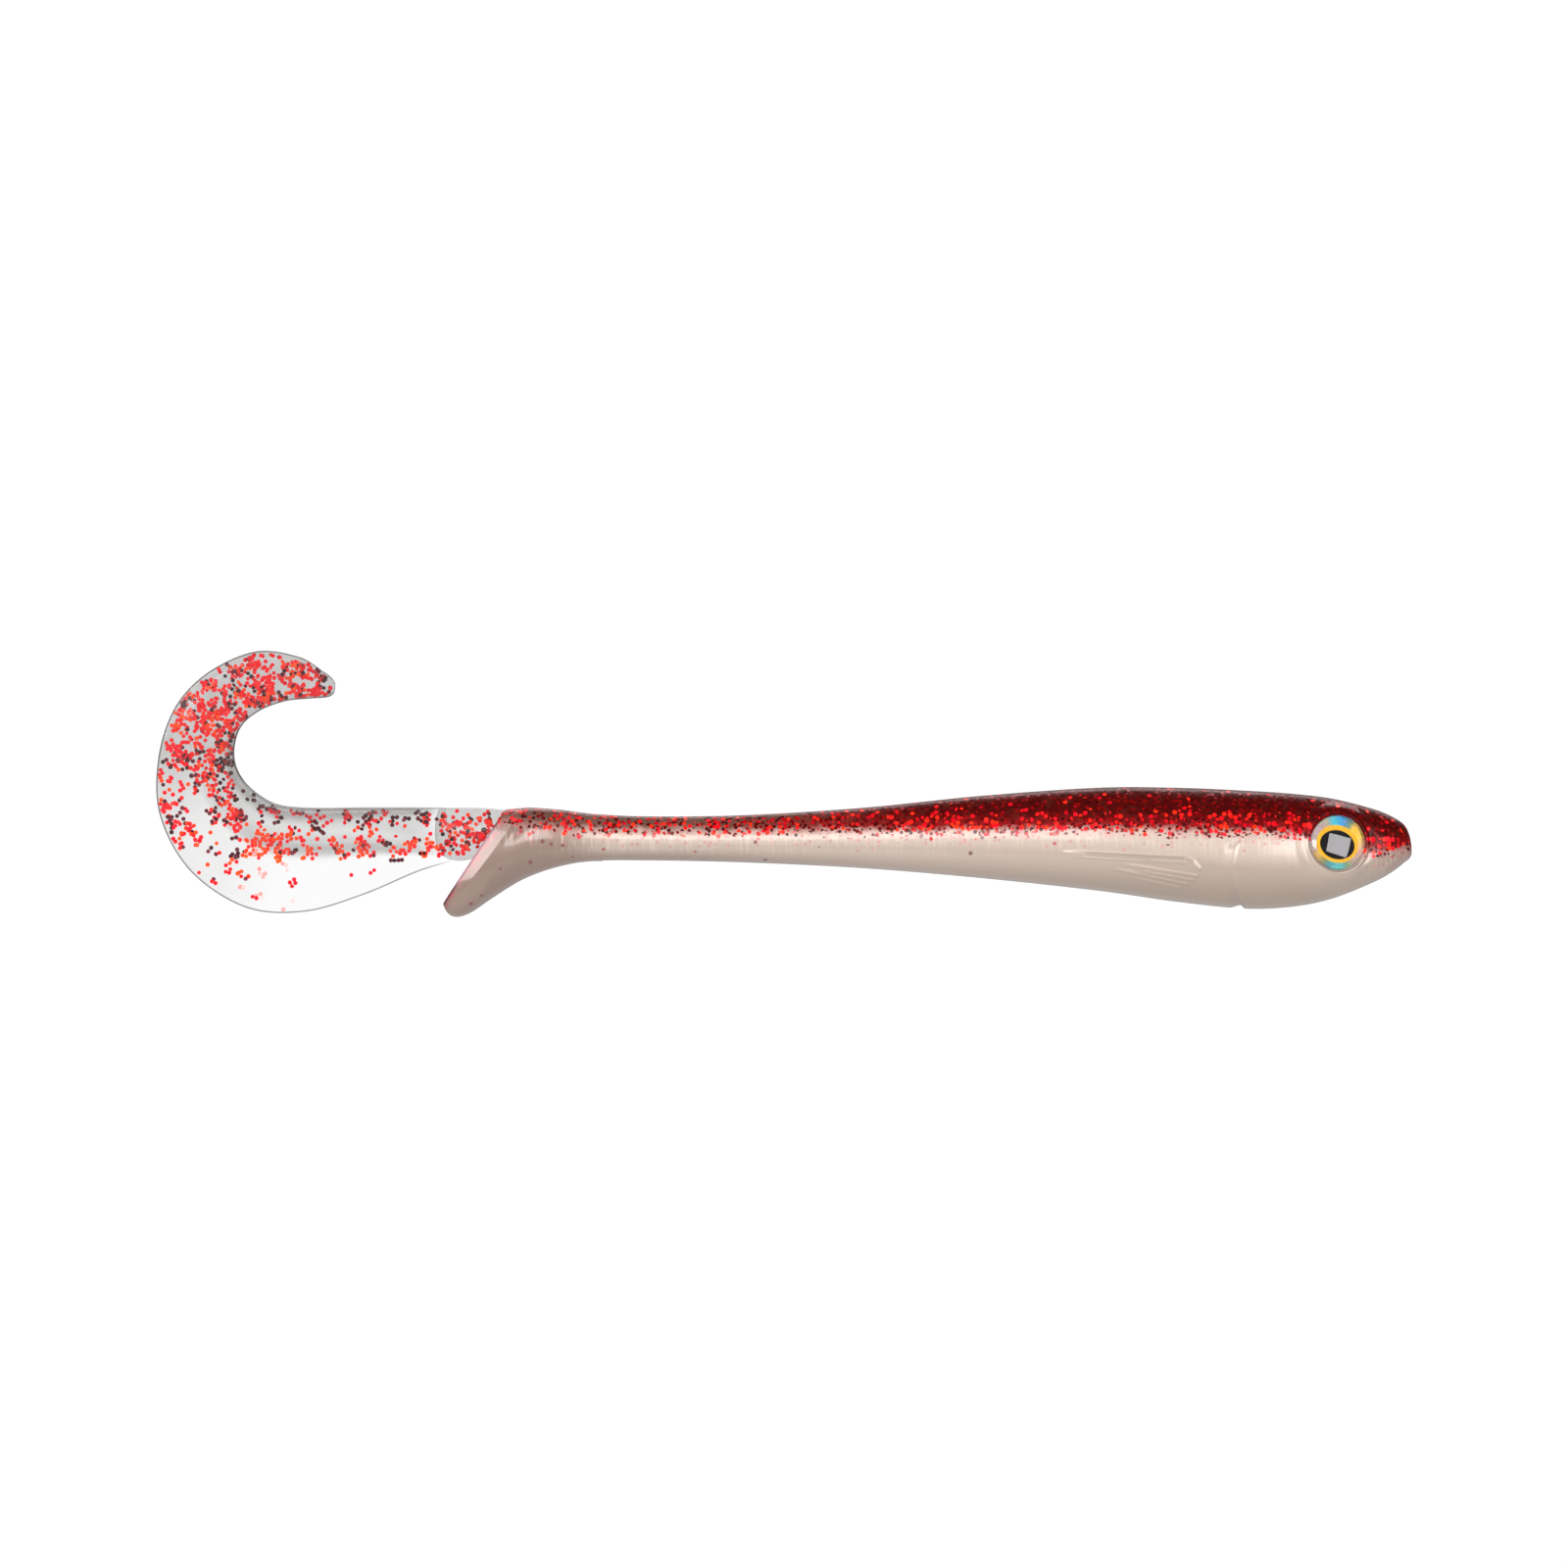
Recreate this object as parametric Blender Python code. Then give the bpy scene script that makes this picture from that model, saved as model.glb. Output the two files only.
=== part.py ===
"""A soft plastic curl-tail minnow bait, modelled in its swimming attitude.

The bait is poured from soft plastisol: a pearl belly, a glittered back bonded on top of it, a slanted
paddle fin at the end of the slim body, and a clear sickle tail that curls up and forward. Two domed
stick-on eyes sit in sockets on the head. The soft body bends sideways, so it is divided at its four
flexing places by round knuckles in round sockets.

Frame: origin at the middle of the flat nose face, +X ahead of the nose, +Z up, +Y to the bait's left.
Every length below is in millimetres; MM turns it into Blender's metres.
"""

import math

import bmesh
import bpy
from mathutils import Matrix, Vector

MM = 0.001

# Where two pieces meet they keep this clearance, and a knuckle keeps it to its socket.
BOND_GAP = 0.08
KNUCKLE_GAP = 0.15

# Body outline: (x, top, bottom, half width). The first row is the flat nose face.
BODY = [
    (0.0, 0.75, -0.55, 0.95),
    (-0.9, 3.2, -1.5, 2.1),
    (-2.4, 4.2, -2.65, 2.9),
    (-4.8, 5.15, -3.95, 3.65),
    (-9.6, 6.35, -5.85, 4.6),
    (-14.4, 6.95, -6.85, 5.1),
    (-20.4, 7.35, -7.1, 5.4),
    (-28.8, 7.7, -6.25, 5.4),
    (-38.4, 7.7, -4.9, 5.0),
    (-52.8, 6.7, -3.35, 4.15),
    (-67.2, 5.25, -2.15, 3.3),
    (-81.6, 4.35, -1.45, 2.75),
    (-93.6, 4.2, -1.2, 2.5),
    (-100.8, 4.55, -1.35, 2.5),
    (-106.8, 5.1, -2.6, 2.75),
]
# Height of the face where the glittered back is bonded to the pearl belly: (x, z).
BOND_LINE = [
    (0.0, 0.35),
    (-4.8, 0.0),
    (-8.4, 0.6),
    (-13.0, 1.9),
    (-20.0, 2.45),
    (-40.0, 2.65),
    (-80.0, 2.5),
    (-106.8, 2.5),
]
SECTION_POWER = 2.25  # 2 is an ellipse; a little more fills the flanks out
WIDEST_SHARE = 0.42  # share of the height, from the bottom, where the body is widest
SECTION_POINTS = 15  # points round each half of a cross-section
BODY_STEPS = 3  # rings from one row of the outline to the next

# Slanted rings of the paddle fin: (top x, top z, bottom x, bottom z, half width).
PADDLE = [
    (-100.2, 4.55, -100.2, -1.3, 2.45),
    (-102.0, 4.75, -102.7, -1.6, 2.5),
    (-104.0, 5.0, -105.9, -2.4, 2.65),
    (-105.8, 5.15, -108.9, -3.6, 3.0),
    (-107.1, 5.2, -111.8, -5.35, 3.45),
    (-108.0, 5.15, -114.8, -7.45, 3.95),
    (-109.6, 4.95, -117.3, -8.1, 3.9),
    (-110.9, 4.6, -118.6, -6.5, 3.3),
]
PADDLE_POINTS = 24
PADDLE_STEPS = 2

# The tail's stub behind the paddle, in the same way.
STUB = [
    (-110.95, 4.9, -115.0, -1.2, 2.0),
    (-113.5, 5.15, -116.0, -1.2, 2.0),
    (-116.0, 5.2, -117.2, -1.35, 1.9),
    (-118.4, 5.2, -118.9, -1.7, 1.5),
]
# The clear blade: (inner edge x, z, outer edge x, z), from the stub round the curl to the tip.
BLADE = [
    (-122.4, 5.3, -121.9, -2.7),
    (-128.4, 5.3, -128.4, -5.45),
    (-134.4, 5.25, -135.6, -7.5),
    (-138.8, 5.7, -142.8, -6.85),
    (-141.8, 7.45, -149.3, -2.5),
    (-143.6, 9.7, -153.1, 4.2),
    (-144.1, 12.25, -153.5, 11.15),
    (-143.3, 15.1, -151.3, 17.5),
    (-141.1, 17.05, -147.2, 21.85),
    (-138.0, 18.25, -141.5, 24.6),
    (-135.0, 18.6, -136.2, 23.75),
    (-132.9, 18.75, -133.2, 21.95),
    (-132.0, 19.15, -132.2, 21.2),
    (-131.75, 19.85, -131.75, 20.5),
]
RIB_ROOT = 1.05  # half thickness of the blade's rib at the stub
RIB_TIP = 0.6
WEB_ROOT = 0.5  # half thickness of the thin web outside the rib
WEB_TIP = 0.42
RIB_ENDS = 0.35  # share of the width where the rib starts to thin
WEB_STARTS = 0.62
EDGE_ROUND = 0.08  # share of the width that each edge's rounding takes
BLADE_STEPS = 3  # rings from one row of the blade to the next
FLAT_SHARES = [0.0, 0.02, 0.08, 0.22, 0.36, 0.5, 0.64, 0.8, 0.94, 0.985, 1.0]

# The four flexing places: where the hinge line crosses the middle plane, and how far it bends each way.
BODY_HINGE_X = -61.2
PEDUNCLE_HINGE_X = -103.0
ROOT_HINGE_X = -116.5
TIP_HINGE_Z = 11.7
TIP_HINGE_X = -148.8
BODY_BEND = 25
PEDUNCLE_BEND = 25
ROOT_BEND = 40
TIP_BEND = 45
BODY_KNUCKLE = 3.5
PEDUNCLE_KNUCKLE = 2.4
ROOT_KNUCKLE = 1.75
TIP_KNUCKLE = 0.75
LIP_MARGIN = 3  # degrees that a socket's lip stays short of the knuckle's shoulder
KNUCKLE_STEPS = 10

# Eyes: a foil disc on an adhesive pad under a clear dome, in a round socket.
EYE_X = -9.2
EYE_Z = 1.05
EYE_SURFACE_Y = 4.45  # the flank's half width at the eye
EYE_YAW = 11  # degrees that the eye looks ahead of straight sideways
EYE_TILT = 8  # degrees that it looks up
SOCKET_RADIUS = 3.45
SOCKET_DEPTH = 1.25
DISC_RADIUS = 3.25
PAD_THICKNESS = 0.25
FOIL_THICKNESS = 0.15
DOME_HEIGHT = 1.35
DOME_EDGE = 0.3  # upright edge under the dome's curve
EYE_SIDES = 32
DOME_RINGS = 6

CUTTER_REACH = 60.0

COLOURS = {
    "pearl": ((0.72, 0.66, 0.60), 0.32),
    "glitter_back": ((0.30, 0.01, 0.02), 0.18),
    "paddle": ((0.66, 0.56, 0.53), 0.28),
    "clear_tail": ((0.80, 0.62, 0.60), 0.08),
    "eye_foil": ((0.85, 0.62, 0.12), 0.2),
    "eye_dome": ((0.82, 0.88, 0.90), 0.03),
    "eye_pad": ((0.90, 0.90, 0.88), 0.6),
}
METALLIC = {"eye_foil": 0.8}


def clear_scene():
    for obj in list(bpy.data.objects):
        bpy.data.objects.remove(obj)


def material(name):
    """One Principled material for each kind of plastic or foil, made once."""
    if name in bpy.data.materials:
        return bpy.data.materials[name]
    made = bpy.data.materials.new(name)
    made.use_nodes = True
    shader = made.node_tree.nodes["Principled BSDF"]
    colour, roughness = COLOURS[name]
    shader.inputs["Base Color"].default_value = (*colour, 1.0)
    shader.inputs["Roughness"].default_value = roughness
    shader.inputs["Metallic"].default_value = METALLIC.get(name, 0.0)
    made.diffuse_color = (*colour, 1.0)
    return made


def curve_through(rows, steps):
    """Catmull-Rom through the rows, with the given number of steps between neighbours."""
    ends = [tuple(2 * a - b for a, b in zip(rows[0], rows[1]))]
    ends.append(tuple(2 * a - b for a, b in zip(rows[-1], rows[-2])))
    padded = [ends[0], *rows, ends[1]]
    found = []
    for i in range(1, len(padded) - 2):
        for k in range(steps):
            t = k / steps
            weights = (
                (-t + 2 * t**2 - t**3) / 2,
                (2 - 5 * t**2 + 3 * t**3) / 2,
                (t + 4 * t**2 - 3 * t**3) / 2,
                (-(t**2) + t**3) / 2,
            )
            four = padded[i - 1 : i + 3]
            found.append(tuple(sum(w * p for w, p in zip(weights, column)) for column in zip(*four)))
    return [*found, rows[-1]]


def height_on(line, x):
    """The height at x of a line of (x, z) points, which runs from the nose backwards."""
    points = curve_through(line, 8)
    for (x0, z0), (x1, z1) in zip(points, points[1:]):
        if x1 <= x <= x0:
            return z0 + (z1 - z0) * (x0 - x) / (x0 - x1)
    return points[-1][1] if x < points[-1][0] else points[0][1]


def oval_point(angle, half_width, above, below):
    """A point (y, z) of a superellipse about its widest place, which has its own height above and below."""
    power = 2 / SECTION_POWER
    c, s = math.cos(angle), math.sin(angle)
    return (
        half_width * math.copysign(abs(c) ** power, c),
        (above if s > 0 else below) * math.copysign(abs(s) ** power, s),
    )


def half_ring(row, upper):
    """One closed cross-section of the back (upper) or of the belly, with a flat face at the bond line."""
    x, top, bottom, half_width = row
    widest = bottom + (top - bottom) * WIDEST_SHARE
    above, below = top - widest, widest - bottom
    bond = height_on(BOND_LINE, x) + (BOND_GAP / 2 if upper else -BOND_GAP / 2)
    share = max(-0.95, min(0.95, (bond - widest) / (above if bond > widest else below)))
    start = math.asin(math.copysign(abs(share) ** (SECTION_POWER / 2), share))
    sweep = math.pi - 2 * start if upper else -(math.pi + 2 * start)
    ring = []
    for i in range(SECTION_POINTS):
        y, z = oval_point(start + sweep * i / (SECTION_POINTS - 1), half_width, above, below)
        ring.append(Vector((x, y, widest + z)))
    return ring


def slanted_ring(row):
    """One closed cross-section in a slanted plane, from its top point, bottom point and half width."""
    top_x, top_z, bottom_x, bottom_z, half_width = row
    top, bottom = Vector((top_x, 0, top_z)), Vector((bottom_x, 0, bottom_z))
    middle, up = (top + bottom) / 2, (top - bottom) / 2
    ring = []
    for i in range(PADDLE_POINTS):
        y, share = oval_point(2 * math.pi * i / PADDLE_POINTS, half_width, 1.0, 1.0)
        ring.append(middle + up * share + Vector((0, y, 0)))
    return ring


def smooth_step(low, high, value):
    t = max(0.0, min(1.0, (value - low) / (high - low)))
    return t * t * (3 - 2 * t)


def blade_half_thickness(share, along):
    """Half thickness at a share of the width from the inner edge, and at a share of the blade's length."""
    rib = RIB_ROOT + (RIB_TIP - RIB_ROOT) * along
    web = WEB_ROOT + (WEB_TIP - WEB_ROOT) * along
    plain = rib + (web - rib) * smooth_step(RIB_ENDS, WEB_STARTS, share)
    from_edge = min(share, 1 - share) / EDGE_ROUND
    return plain * math.sqrt(max(0.0, 1 - max(0.0, 1 - from_edge) ** 2))


def flat_ring(inner, outer, half_thickness):
    """One closed cross-section of the stub or the blade between its inner and outer edge points."""
    left = []
    right = []
    for share in FLAT_SHARES:
        point = inner.lerp(outer, share)
        y = half_thickness(share)
        left.append(point + Vector((0, y, 0)))
        right.append(point - Vector((0, y, 0)))
    return left + right[-2:0:-1]


def stub_ring(row):
    top_x, top_z, bottom_x, bottom_z, half_width = row
    return flat_ring(
        Vector((top_x, 0, top_z)),
        Vector((bottom_x, 0, bottom_z)),
        lambda share: half_width * 2 * math.sqrt(share * (1 - share)),
    )


def blade_rings(first, last):
    """The blade's cross-sections between two of its rows."""
    rows = curve_through(BLADE, BLADE_STEPS)
    rings = []
    for i in range(first * BLADE_STEPS, last * BLADE_STEPS + 1):
        inner_x, inner_z, outer_x, outer_z = rows[i]
        along = i / (len(rows) - 1)
        rings.append(
            flat_ring(
                Vector((inner_x, 0, inner_z)),
                Vector((outer_x, 0, outer_z)),
                lambda share, along=along: blade_half_thickness(share, along),
            )
        )
    return rings


def to_object(name, bm, material_name=None):
    bmesh.ops.recalc_face_normals(bm, faces=bm.faces)
    mesh = bpy.data.meshes.new(name)
    bm.to_mesh(mesh)
    bm.free()
    if material_name:
        mesh.materials.append(material(material_name))
        mesh.shade_smooth()
        mesh.set_sharp_from_angle(angle=math.radians(35))
    made = bpy.data.objects.new(name, mesh)
    bpy.context.scene.collection.objects.link(made)
    return made


def loft(name, rings, material_name):
    """A closed solid through rings of equal point counts, with a flat cap at each end."""
    bm = bmesh.new()
    loops = [[bm.verts.new(point * MM) for point in ring] for ring in rings]
    count = len(loops[0])
    for loop, following in zip(loops, loops[1:]):
        for i in range(count):
            j = (i + 1) % count
            bm.faces.new((loop[i], loop[j], following[j], following[i]))
    bm.faces.new(loops[0])
    bm.faces.new(list(reversed(loops[-1])))
    bmesh.ops.triangulate(bm, faces=bm.faces)
    return to_object(name, bm, material_name)


def hinge_tool(name, pivot, to_parent, axis, radius, lip_angle):
    """A prism along the hinge line that covers the parent's side and a round knuckle behind the line.

    to_parent points from the hinge line towards the parent. lip_angle is measured from the opposite
    direction: 90 gives a knuckle with square shoulders, and less leaves lips for a socket.
    """
    across = axis.cross(to_parent)
    lip = math.radians(lip_angle)
    outline = [(-math.cos(lip) * CUTTER_REACH, -math.sin(lip) * CUTTER_REACH)]
    for i in range(KNUCKLE_STEPS + 1):
        angle = -lip + 2 * lip * i / KNUCKLE_STEPS
        outline.append((-math.cos(angle) * radius, math.sin(angle) * radius))
    outline.append((-math.cos(lip) * CUTTER_REACH, math.sin(lip) * CUTTER_REACH))
    outline += [(4 * CUTTER_REACH, CUTTER_REACH), (4 * CUTTER_REACH, -CUTTER_REACH)]
    bm = bmesh.new()
    base = pivot - axis * CUTTER_REACH
    ring = [bm.verts.new((base + to_parent * u + across * v) * MM) for u, v in outline]
    face = bm.faces.new(ring)
    extruded = bmesh.ops.extrude_face_region(bm, geom=[face])
    moved = [v for v in extruded["geom"] if isinstance(v, bmesh.types.BMVert)]
    bmesh.ops.translate(bm, verts=moved, vec=axis * 2 * CUTTER_REACH * MM)
    return as_cutter(to_object(name, bm))


def as_cutter(obj):
    obj.hide_render = True
    obj.display_type = "WIRE"
    return obj


def cut(obj, cutter, operation):
    modifier = obj.modifiers.new(cutter.name, "BOOLEAN")
    modifier.operation = operation
    modifier.object = cutter
    modifier.solver = "EXACT"


def knuckle_and_socket(name, pivot, to_parent, axis, radius, bend, before, behind):
    """Rounds the end of the solids before the hinge line, and hollows the start of those behind it."""
    knuckle = hinge_tool(f"{name}_knuckle_tool", pivot, to_parent, axis, radius, 90)
    lip_angle = 90 - bend - LIP_MARGIN
    socket = hinge_tool(f"{name}_socket_tool", pivot, to_parent, axis, radius + KNUCKLE_GAP, lip_angle)
    for obj in before:
        cut(obj, knuckle, "INTERSECT")
    for obj in behind:
        cut(obj, socket, "DIFFERENCE")


def body_rows(front, rear):
    """The body's outline rows between two places, both included."""
    rows = curve_through(BODY, BODY_STEPS)
    inside = [row for row in rows if rear < row[0] < front]
    return [row_at(rows, front), *inside, row_at(rows, rear)]


def row_at(rows, x):
    for first, second in zip(rows, rows[1:]):
        if second[0] <= x <= first[0]:
            t = (first[0] - x) / (first[0] - second[0])
            return tuple(a + (b - a) * t for a, b in zip(first, second))
    return rows[-1]


def body_solid(name, front, rear, upper):
    rings = [half_ring(row, upper) for row in body_rows(front, rear)]
    return loft(name, rings, "glitter_back" if upper else "pearl")


def eye_matrix(side, depth):
    """The frame of an eye piece: its z axis looks outwards, and depth is how far in it starts."""
    yaw, tilt = math.radians(EYE_YAW), math.radians(EYE_TILT)
    outwards = Vector((math.sin(yaw), side * math.cos(yaw), math.tan(tilt))).normalized()
    turn = outwards.to_track_quat("Z", "Y").to_matrix().to_4x4()
    place = Vector((EYE_X, side * EYE_SURFACE_Y, EYE_Z)) - outwards * depth
    return Matrix.Translation(place * MM) @ turn


def disc(name, radius, thickness, matrix, material_name=None):
    bm = bmesh.new()
    bmesh.ops.create_cone(
        bm,
        cap_ends=True,
        segments=EYE_SIDES,
        radius1=radius * MM,
        radius2=radius * MM,
        depth=thickness * MM,
        matrix=Matrix.Translation((0, 0, thickness / 2 * MM)),
    )
    made = to_object(name, bm, material_name)
    made.matrix_world = matrix
    return made


def dome(name, matrix):
    """A plano-convex lens: an upright edge, then a spherical cap, spun about the eye's axis."""
    rise = DOME_HEIGHT - DOME_EDGE
    sphere = (DISC_RADIUS**2 + rise**2) / (2 * rise)
    widest = math.asin(DISC_RADIUS / sphere)
    profile = [(0.0, 0.0), (DISC_RADIUS, 0.0)]
    for i in range(DOME_RINGS + 1):
        angle = widest * (1 - i / DOME_RINGS)
        profile.append((sphere * math.sin(angle), DOME_EDGE + sphere * (math.cos(angle) - math.cos(widest))))
    bm = bmesh.new()
    verts = [bm.verts.new((r * MM, 0, z * MM)) for r, z in profile]
    edges = [bm.edges.new(pair) for pair in zip(verts, verts[1:])]
    bmesh.ops.spin(
        bm, geom=verts + edges, cent=(0, 0, 0), axis=(0, 0, 1), angle=2 * math.pi, steps=EYE_SIDES, use_duplicate=False
    )
    bmesh.ops.remove_doubles(bm, verts=bm.verts, dist=0.001 * MM)
    made = to_object(name, bm, "eye_dome")
    made.matrix_world = matrix
    return made


def eye(side, label, bodies):
    """A socket in the head's two solids, and the pad, foil and dome that fill it."""
    socket = disc(
        f"eye_socket_tool_{label}",
        SOCKET_RADIUS,
        SOCKET_DEPTH * 3,
        eye_matrix(side, SOCKET_DEPTH),
    )
    as_cutter(socket)
    for obj in bodies:
        cut(obj, socket, "DIFFERENCE")
    pad_depth = SOCKET_DEPTH - BOND_GAP
    foil_depth = pad_depth - PAD_THICKNESS - BOND_GAP
    dome_depth = foil_depth - FOIL_THICKNESS - BOND_GAP
    return [
        disc(f"eye_pad_{label}", DISC_RADIUS, PAD_THICKNESS, eye_matrix(side, pad_depth), "eye_pad"),
        disc(f"eye_foil_{label}", DISC_RADIUS, FOIL_THICKNESS, eye_matrix(side, foil_depth), "eye_foil"),
        dome(f"eye_dome_{label}", eye_matrix(side, dome_depth)),
    ]


def joint_empty(name, place, parent=None):
    """An empty on a hinge line, which the pieces behind it hang from."""
    made = bpy.data.objects.new(name, None)
    bpy.context.scene.collection.objects.link(made)
    made.location = place * MM
    hang(made, parent)
    return made


def hang(obj, parent):
    """Parents obj without moving it."""
    if parent is None:
        return
    bpy.context.view_layer.update()
    world = obj.matrix_world.copy()
    obj.parent = parent
    obj.matrix_world = world


def build():
    clear_scene()
    nose_x = BODY[0][0]
    body_hinge = Vector((BODY_HINGE_X, 0, 0))
    peduncle_hinge = Vector((PEDUNCLE_HINGE_X, 0, 0))
    root_hinge = Vector((ROOT_HINGE_X, 0, 0))
    tip_hinge = Vector((TIP_HINGE_X, 0, TIP_HINGE_Z))
    forward, up, down = Vector((1, 0, 0)), Vector((0, 0, 1)), Vector((0, 0, -1))

    head_rear = BODY_HINGE_X - BODY_KNUCKLE - 1
    head_belly = body_solid("head_belly", nose_x, head_rear, upper=False)
    head_back = body_solid("head_back", nose_x, head_rear, upper=True)
    stem_rear = PEDUNCLE_HINGE_X - PEDUNCLE_KNUCKLE - 1
    stem_belly = body_solid("stem_belly", BODY_HINGE_X, stem_rear, upper=False)
    stem_back = body_solid("stem_back", BODY_HINGE_X, stem_rear, upper=True)
    paddle_rings = [slanted_ring(row) for row in curve_through(PADDLE, PADDLE_STEPS)]
    paddle = loft("paddle_fin", paddle_rings, "paddle")
    stub_rings = [stub_ring(row) for row in STUB]
    tail_root = loft("tail_root", stub_rings, "clear_tail")
    tail_blade = loft("tail_blade", stub_rings[1:] + blade_rings(0, 8), "clear_tail")
    tail_tip = loft("tail_tip", blade_rings(5, len(BLADE) - 1), "clear_tail")

    knuckle_and_socket(
        "body", body_hinge, forward, up, BODY_KNUCKLE, BODY_BEND, [head_belly, head_back], [stem_belly, stem_back]
    )
    knuckle_and_socket(
        "peduncle", peduncle_hinge, forward, up, PEDUNCLE_KNUCKLE, PEDUNCLE_BEND, [stem_belly, stem_back], [paddle]
    )
    knuckle_and_socket("root", root_hinge, forward, up, ROOT_KNUCKLE, ROOT_BEND, [tail_root], [tail_blade])
    knuckle_and_socket("tip", tip_hinge, down, forward, TIP_KNUCKLE, TIP_BEND, [tail_blade], [tail_tip])

    eye(-1, "right", [head_belly, head_back])
    eye(1, "left", [head_belly, head_back])

    stem_joint = joint_empty("body_flex", body_hinge)
    paddle_joint = joint_empty("peduncle_flex", peduncle_hinge, stem_joint)
    tail_joint = joint_empty("tail_root_flex", root_hinge, paddle_joint)
    tip_joint = joint_empty("tail_tip_flex", tip_hinge, tail_joint)
    for obj, joint in (
        (stem_belly, stem_joint),
        (stem_back, stem_joint),
        (paddle, paddle_joint),
        (tail_root, paddle_joint),
        (tail_blade, tail_joint),
        (tail_tip, tip_joint),
    ):
        hang(obj, joint)


build()
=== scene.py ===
"""The looks of a soft plastic curl-tail bait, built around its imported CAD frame.

The body is two pours, a pearl belly and a red-glitter back, which meet in a soft line on the flank. Behind
them are the paddle fin and a clear tail full of glitter flakes. Every length below is in millimetres, in the
frame's axes: the nose at the origin, +X ahead of it, +Z up. MM turns them into Blender's metres.
"""

import math
import random

import bmesh
import bpy
import numpy as np
from mathutils import Matrix, Vector


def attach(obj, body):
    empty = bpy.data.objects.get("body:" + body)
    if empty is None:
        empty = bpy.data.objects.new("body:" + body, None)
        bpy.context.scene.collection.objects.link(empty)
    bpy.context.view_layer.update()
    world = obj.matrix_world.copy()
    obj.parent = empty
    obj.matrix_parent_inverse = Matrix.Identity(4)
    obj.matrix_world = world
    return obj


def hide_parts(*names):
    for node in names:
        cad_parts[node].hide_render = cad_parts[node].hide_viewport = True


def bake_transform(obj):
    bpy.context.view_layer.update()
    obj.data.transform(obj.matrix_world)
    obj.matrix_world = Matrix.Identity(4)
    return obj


MM = 0.001

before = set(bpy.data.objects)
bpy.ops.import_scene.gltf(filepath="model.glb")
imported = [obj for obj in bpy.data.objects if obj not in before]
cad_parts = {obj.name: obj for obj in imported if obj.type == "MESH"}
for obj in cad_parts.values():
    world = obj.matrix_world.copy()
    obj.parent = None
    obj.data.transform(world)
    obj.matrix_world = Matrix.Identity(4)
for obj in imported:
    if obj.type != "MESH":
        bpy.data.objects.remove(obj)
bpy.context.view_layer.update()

# Body outline: (x, top, bottom, half width), from the flat nose face back to the mould line.
BODY = [
    (0.0, 0.75, -0.55, 0.95),
    (-0.25, 2.0, -1.0, 1.5),
    (-0.9, 3.2, -1.5, 2.1),
    (-2.4, 4.2, -2.65, 2.9),
    (-4.8, 5.15, -3.95, 3.65),
    (-9.6, 6.35, -5.85, 4.6),
    (-14.4, 6.95, -6.85, 5.1),
    (-20.4, 7.35, -7.1, 5.4),
    (-28.8, 7.7, -6.25, 5.4),
    (-38.4, 7.7, -4.9, 5.0),
    (-52.8, 6.7, -3.35, 4.15),
    (-67.2, 5.25, -2.15, 3.3),
    (-81.6, 4.35, -1.45, 2.75),
    (-93.6, 4.2, -1.2, 2.5),
    (-100.8, 4.55, -1.35, 2.5),
    (-106.8, 5.1, -2.6, 2.75),
]
# Height of the line where the back meets the belly: (x, z). Behind the body it climbs to the top of the fin.
BOND_LINE = [
    (0.0, 0.35),
    (-4.8, 0.0),
    (-8.4, 0.6),
    (-13.0, 1.9),
    (-20.0, 2.45),
    (-40.0, 2.65),
    (-80.0, 2.5),
    (-99.0, 2.6),
    (-104.0, 2.9),
    (-108.0, 3.3),
    (-112.0, 3.9),
]
SECTION_POWER = 2.25
WIDEST_SHARE = 0.42
MOULD_LINE_X = -99.0  # where the body's skins meet the fin's
SEAM = 0.002
EYE_STEP = 0.09  # between rings at the eyes
FINE_STEP = 0.15  # between rings where the skin has relief
COARSE_STEP = 0.45
EYES_SPAN_X = (-4.05, -14.4)
RELIEF_ENDS_X = -46.0

# Gill crease: (z, x), from the flank down to the notch in the belly's outline.
GILL = [(1.4, -21.2), (0.2, -21.8), (-1.6, -22.1), (-3.4, -21.95), (-5.4, -21.4), (-7.3, -20.7)]
# Pectoral fin: ridges as (start, end, height), each point an (x, z) on the flank.
FIN_RIDGES = [
    ((-42.6, -0.2), (-28.0, -1.0), 0.17),
    ((-42.2, -0.6), (-28.0, -1.45), 0.16),
    ((-28.0, -1.0), (-26.9, -1.4), 0.17),
    ((-26.9, -1.4), (-26.2, -2.2), 0.18),
    ((-36.1, -1.5), (-26.5, -3.05), 0.13),
    ((-37.3, -2.0), (-27.6, -4.05), 0.17),
    ((-33.9, -2.35), (-27.0, -3.55), 0.15),
    ((-33.4, -3.4), (-28.5, -4.45), 0.16),
]
RIDGE_WIDTH = 0.2

# Slanted rings of the paddle fin up to the front edge of its rim: (top x, z, bottom x, z, half width).
PADDLE = [
    (-99.0, 4.42, -99.0, -1.28, 2.48),
    (-100.6, 4.55, -100.8, -1.34, 2.48),
    (-102.2, 4.75, -103.0, -1.65, 2.52),
    (-104.0, 5.0, -105.9, -2.4, 2.68),
    (-105.8, 5.15, -108.9, -3.6, 3.1),
    (-107.1, 5.25, -111.8, -5.35, 3.58),
    (-108.0, 5.3, -114.8, -7.4, 3.9),
]
PADDLE_REAR = (-110.9, 5.05, -118.55, -6.5, 3.95)
FIN_EDGE_NORMAL = (0.834, 0.0, -0.552)  # across the rear ring's plane, towards the front
FIN_EDGE_REACH = -95.28
LOBE_SWELL = (-1.6, -1.75)  # how far the rim's foot swells past the straight line between those two rings
FACET_DEPTH = 0.95
FACET_FOOT = 0.24  # the rim's flank is a flat band above this share of its height, and round below
DISH_DIRECTION = (0.82, 0.0, 0.57)

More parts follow.
